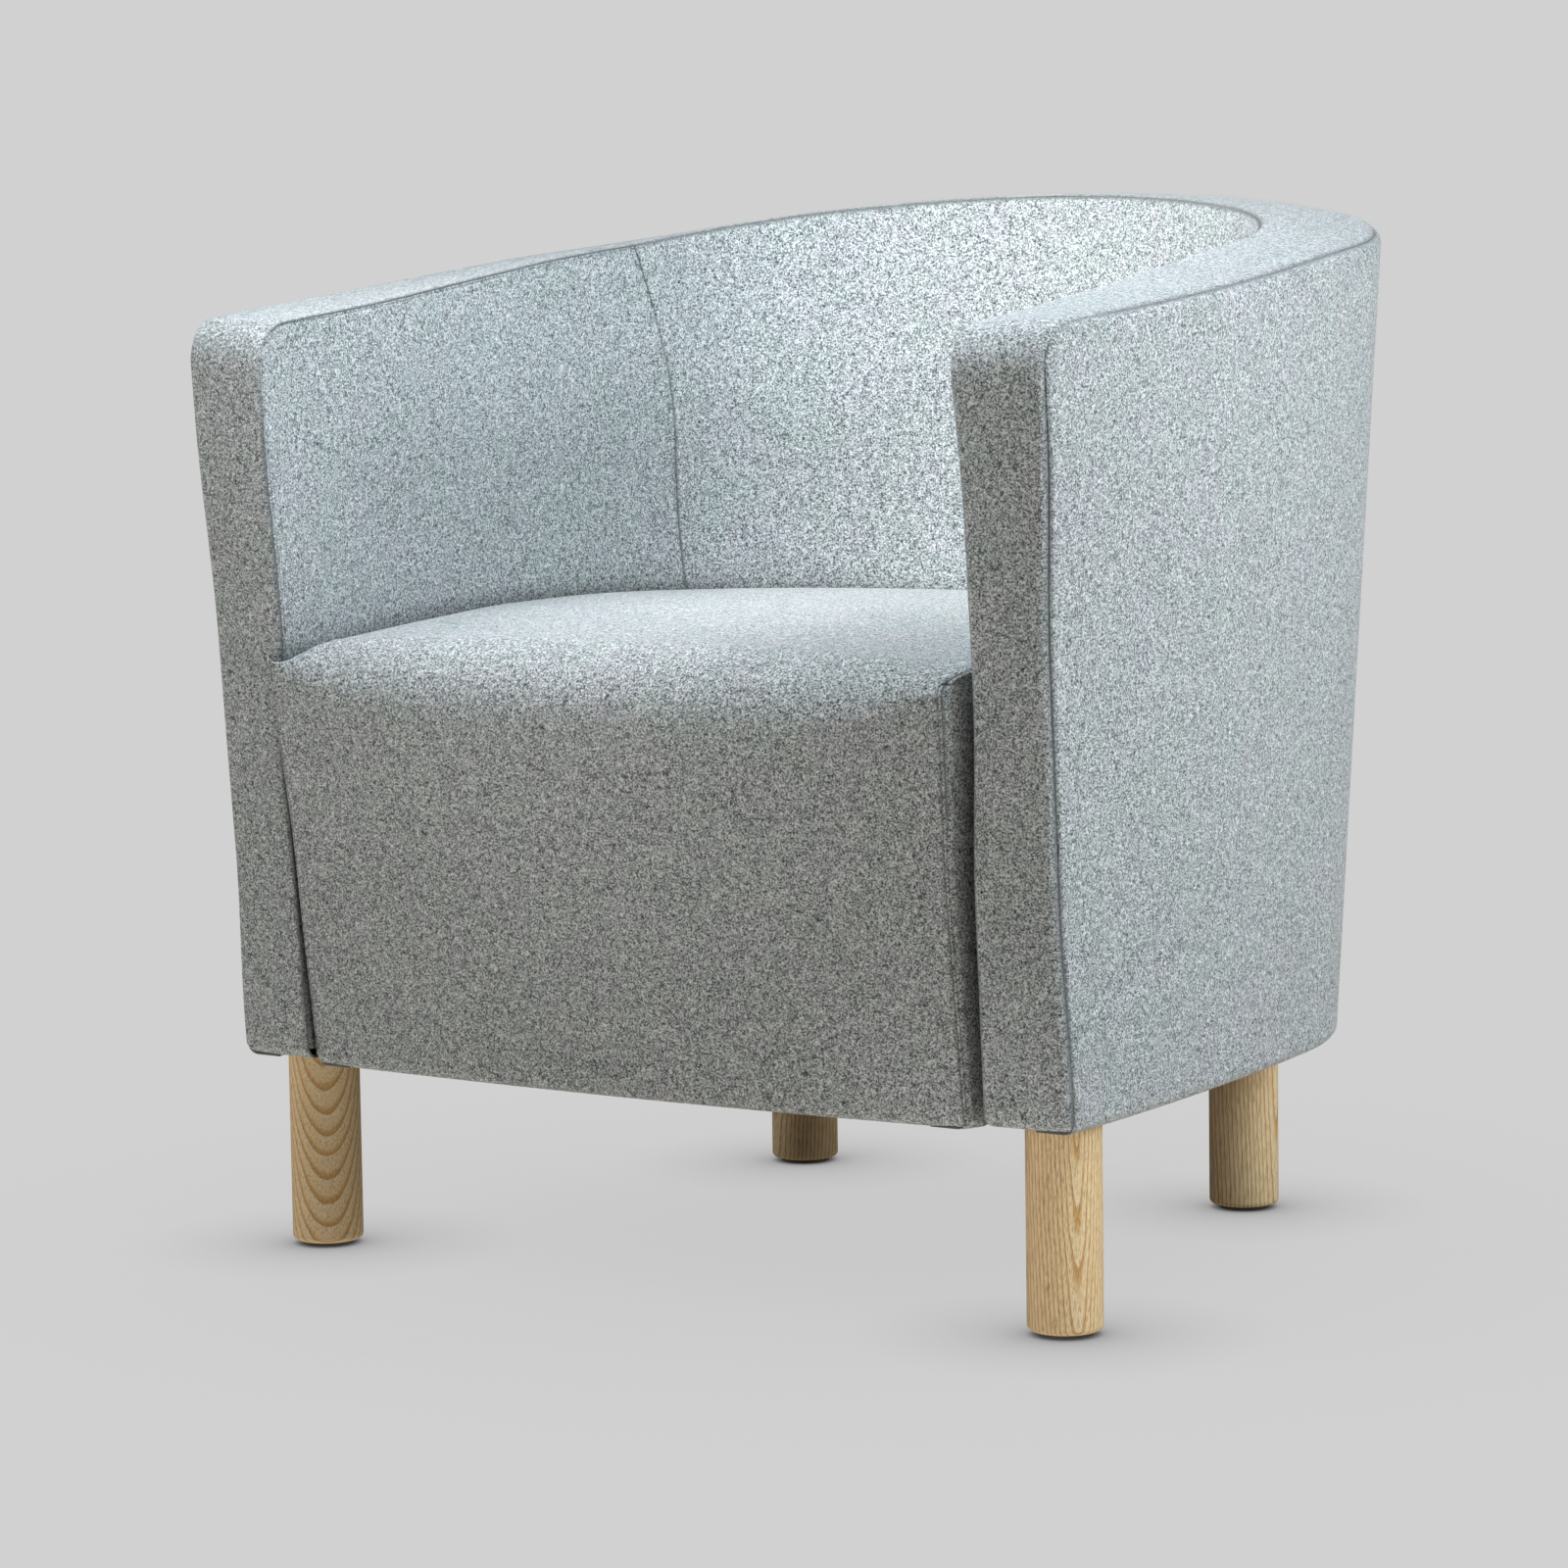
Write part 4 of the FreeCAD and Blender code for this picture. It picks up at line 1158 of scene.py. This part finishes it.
def seat_place(column, row):
    """A point of the seat's cover: column is across from the middle, row is up the front and over the top."""
    side = column / seat_half
    end = seat_left if side < 0 else seat_right
    if side not in made_profiles:
        made_profiles[side] = seat_profile(side)
    profile = made_profiles[side]
    from_end = seat_half - abs(column)
    fall = seat_edge.front_fall(from_end + seat_reach)
    near_end = max(1 - from_end / seat_shoulder_reach, 0.0)
    sunk = end["shoulder"] * (1 - math.sqrt(1 - near_end ** 2))
    behind = row - seat_front_height - seat_roll_length
    if behind <= 0:
        return seat_front_point(side, end, profile, row, fall, sunk)
    spot = seat_top_spot(side, end, profile, behind / seat_top_length)
    seam_pull_and_painted_shade = 1 - eased(behind / gusset_depth)
    fall = mix(edge_fall(from_end, seat_edge_radius), fall, seam_pull_and_painted_shade)
    fall = max(fall, edge_fall(seat_top_length - behind, seat_edge_radius))
    sunk *= 1 - eased(behind / seat_sunk_reach)
    return Vector((spot.x, spot.y, crown_z(spot.x, spot.y) - fall - sunk))


def make_seat():
    columns = stations(-seat_half, seat_half)
    front = even(0.0, seat_front_height)
    top_start = seat_front_height + seat_roll_length
    roll = even(seat_front_height, top_start, roll_step)
    top = stations(top_start, top_start + seat_top_length, first=())
    rows = turn_rows + front + roll[1:] + top[1:]

    def seam_pull_and_painted_shade(column, row):
        return beside_seam(seat_half - abs(column))

    piece = cloth("seat_cover_felt", columns, rows, seat_place, seam_pull_and_painted_shade)
    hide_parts("seat_cover", "seat_foam", "front_padding")


make_seat()


# Gussets: the sewn-in sides of the seat, from its front back to where it meets the arms

gusset_height = 300.0


def gusset_place(column, row, end):
    """A point of a gusset, as if on the right: column is back from the front seam, row is up its side."""
    z = mix(seat_hem_z, seat_edge_z, max(row, 0.0) / gusset_height)
    for _ in range(gusset_rounds):
        corner = seat_corner(z, end)
        front_gap = front_y(z) + return_depth - corner.y
        deepest = mix(front_gap, gusset_depth, eased((z - seat_deck_z) / gusset_deepening))
        behind = mix(seat_reach, deepest, column / gusset_depth)
        x = corner.x + end["flare"] * behind
        y = corner.y + behind
        top = crown_z(x, y) - seat_reach - end["shoulder"]
        if y < side_profile.arc_end.x:
            top = side_profile.corner_top(behind * side_profile.front_way.y, seat_reach) - end["shoulder"]
        low = seat_hem_z + bottom_edge_radius
        z = low if row < 0 else mix(low, top, row / gusset_height)
    inset = 0.0
    if row < 0:
        inset, rise = turned_under(-row)
        z = seat_hem_z + rise
    deep = side_profile.inside(Vector((y, z)), crown_z(x, y) - z)
    return Vector((x - inset - seat_edge.side_fall(deep), y, z))


def make_gussets():
    columns = stations(0.0, gusset_depth, step=gusset_step, last=())
    rows = turn_rows + stations(0.0, gusset_height, first=())

    def seam_pull_and_painted_shade(column, row):
        return beside_seam(min(column, gusset_height - row))

    def right_place(column, row):
        return gusset_place(column, row, seat_right)

    def left_place(column, row):
        return mirrored(gusset_place(column, row, seat_left))

    right = cloth("gusset_right_felt", columns, rows, right_place, seam_pull_and_painted_shade)
    left = cloth("gusset_left_felt", columns, rows, left_place, seam_pull_and_painted_shade, flip=True)
    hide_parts("seat_gusset_right")
    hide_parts("seat_gusset_left")


make_gussets()


# Returns: narrow strips inside each arm's front, beside the seat

def return_place(column, row):
    """A point of the right return: column runs back from the band's seam, then in behind the seat."""
    z = row
    y = front_y(z) + mix(inner_edge.side_end, return_depth, min(column / return_depth, 1.0))
    x = arm_x(y, z, inner_depth(y, z) - inner_edge.side_fall(y - front_y(z)))
    return Vector((x - max(column - return_depth, 0.0), y - inner_lead(y, z), z))


def make_returns():
    columns = stations(0.0, return_depth, step=return_step, last=())
    columns += [return_depth + behind for behind in return_behind]
    rows = even(shell_z + bottom_edge_radius, lining_foot_z + return_overlap)

    def seam_pull_and_painted_shade(column, row):
        return beside_seam(column)

    def left_place(column, row):
        return on_left(return_place(column, row))

    cloth("arm_return_right", columns, rows, return_place, seam_pull_and_painted_shade, flip=True)
    cloth("arm_return_left", columns, rows, left_place, seam_pull_and_painted_shade)


make_returns()


# Sewn edges along the seams

def make_band_bead(name, depth_share):
    def path(distance):
        point = band_surface(band_half - abs(distance), depth_share)
        return point if distance > 0 else on_left(point, depth_share)

    def radius(distance):
        return bead_radius * faded(bead_faint, band_from_corner(band_half - abs(distance)))

    bead(name, even(-band_half, band_half, band_bead_step), path, radius)


def make_gusset_bead(name, side):
    def path(distance):
        return seat_place(side * seat_half, distance)

    def radius(distance):
        return bead_radius

    length = seat_front_height + seat_roll_length + gusset_depth
    bead(name, even(0.0, length, gusset_bead_step), path, radius)


make_band_bead("outer_seam", 0.0)
make_band_bead("inner_seam", 1.0)
make_gusset_bead("gusset_seam_right", 1.0)
make_gusset_bead("gusset_seam_left", -1.0)


# Camera of the photograph

def photo_camera():
    """The camera that fits the photograph: its focal length is in pixels of the photograph."""
    focal_px = 5500.0
    photo_px = 1600.0
    sensor = 36.0
    azimuth = math.radians(34.29)
    elevation = math.radians(6.35)
    roll = 0.0152
    eye = Vector((2092.2, -3183.4, 742.7))
    back = Vector((math.sin(azimuth) * math.cos(elevation), -math.cos(azimuth) * math.cos(elevation),
                   math.sin(elevation)))
    right = Vector((math.cos(azimuth), math.sin(azimuth), 0.0))
    down = right.cross(back)
    turned_right = right * math.cos(roll) + down * math.sin(roll)
    up = back.cross(turned_right)
    data = bpy.data.cameras.new("photo camera")
    data.sensor_width = sensor
    data.lens = sensor * focal_px / photo_px
    data.clip_end = 500.0
    camera = bpy.data.objects.new("photo camera", data)
    turned = Matrix((turned_right, up, back)).transposed().to_4x4()
    camera.matrix_world = Matrix.Translation(eye * MM) @ turned
    bpy.context.scene.collection.objects.link(camera)
    bpy.context.scene.camera = camera


photo_camera()


# Studio: a pale backdrop and floor, soft boxes over the chair and at its sides, and narrow ones with grids

backdrop_grey = "#d1d1d1"
floor_tint = "#fff8ee"
floor_bounce = 0.81
floor_radius_m = 150.0
bounce_from = 150.0
bounce_full = 500.0
wide_shade = 450.0
wide_shade_light = 0.9
close_shade = 120.0
cool = "#f0f8ff"
cooler = "#e0f1ff"
plain = "#ffffff"


def seen_or_given(tree, surface, seen, given):
    """The camera sees one glow, and the chair is lit by another."""
    camera = add(tree, "ShaderNodeLightPath", "Is Camera Ray")
    tree.links.new(add(tree, "ShaderNodeMixShader", "Shader", {0: camera, 1: given, 2: seen}), surface)


def make_floor():
    """A floor as pale as the backdrop, with soft shade under the chair and darker shade round its feet.

    The light it gives back to the chair fades out under the chair.
    """
    look = Look("pale studio floor")
    wide = look.add("ShaderNodeAmbientOcclusion", "AO", {"Distance": wide_shade * MM}, samples=8)
    close = look.add("ShaderNodeAmbientOcclusion", "AO", {"Distance": close_shade * MM}, samples=8)
    under = look.add("ShaderNodeMapRange", "Result", {"Value": wide, "To Min": wide_shade_light})
    shade = look.add("ShaderNodeMath", "Value", {0: under, 1: close}, operation="MULTIPLY")
    seen = look.add("ShaderNodeEmission", "Emission", {"Color": linear(backdrop_grey), "Strength": shade})
    away = look.add("ShaderNodeVectorMath", "Value", {0: look.place}, operation="LENGTH")
    bounce = look.add("ShaderNodeMapRange", "Result",
                      {"Value": away, "From Min": bounce_from * MM, "From Max": bounce_full * MM,
                       "To Max": floor_bounce}, interpolation_type="SMOOTHSTEP")
    given = look.add("ShaderNodeEmission", "Emission", {"Color": linear(floor_tint), "Strength": bounce})
    seen_or_given(look.tree, look.surface, seen, given)
    shape = bmesh.new()
    bmesh.ops.create_circle(shape, cap_ends=True, segments=64, radius=floor_radius_m)
    floor = finished("studio_floor", shape, look.material)
    floor.parent = None
    floor.visible_glossy = False


def make_world():
    """A grey backdrop that gives no light."""
    world = bpy.data.worlds.new("soft studio")
    world.use_nodes = True
    tree = world.node_tree
    seen = add(tree, "ShaderNodeBackground", "Background", {"Color": linear(backdrop_grey)})
    given = add(tree, "ShaderNodeBackground", "Background", {"Strength": 0.0})
    seen_or_given(tree, tree.nodes["World Output"].inputs["Surface"], seen, given)
    bpy.context.scene.world = world


def make_soft_box(name, place, aim, size, power, hex_colour, spread=180.0):
    """A square soft box at a place, aimed at a point; a grid narrows its spread."""
    data = bpy.data.lights.new(name, "AREA")
    data.shape = "SQUARE"
    data.size = size * MM
    data.energy = power
    data.color = linear(hex_colour)[:3]
    data.spread = math.radians(spread)
    box = bpy.data.objects.new(name, data)
    box.location = Vector(place) * MM
    box.rotation_mode = "QUATERNION"
    box.rotation_quaternion = (Vector(place) - Vector(aim)).to_track_quat("Z", "Y")
    box.visible_camera = False
    bpy.context.scene.collection.objects.link(box)


def make_lights():
    make_soft_box("over front", (0.0, -450.0, 1250.0), (0.0, -450.0, 0.0), 300.0, 6.4, cool)
    make_soft_box("over seat", (0.0, -200.0, 1150.0), (0.0, -200.0, 0.0), 300.0, 0.9, plain)
    make_soft_box("over left arm", (-400.0, -200.0, 1150.0), (-400.0, -200.0, 0.0), 300.0, 1.2, plain)
    make_soft_box("over right arm", (800.0, -200.0, 1150.0), (800.0, -200.0, 0.0), 300.0, 3.7, plain)
    make_soft_box("left", (-1600.0, -800.0, 450.0), (0.0, -800.0, 450.0), 750.0, 4.2, plain)
    make_soft_box("right", (1600.0, 0.0, 1200.0), (0.0, 0.0, 450.0), 750.0, 15.5, cooler)
    make_soft_box("right behind", (1600.0, 800.0, 450.0), (0.0, 800.0, 450.0), 750.0, 4.0, plain)
    make_soft_box("behind", (-800.0, 2000.0, 700.0), (0.0, 0.0, 450.0), 750.0, 10.0, plain)
    make_soft_box("back grid", (0.0, -1300.0, 1900.0), (60.0, 280.0, 600.0), 300.0, 0.9, plain, 25.0)
    make_soft_box("seat grid", (-300.0, -1000.0, 1600.0), (0.0, -60.0, 450.0), 300.0, 0.45, plain, 25.0)
    make_soft_box("leg grid", (200.0, -1900.0, 260.0), (306.0, -250.0, 60.0), 200.0, 0.022, plain, 10.0)


make_floor()
make_world()
make_lights()
bpy.context.scene.view_settings.view_transform = "Standard"
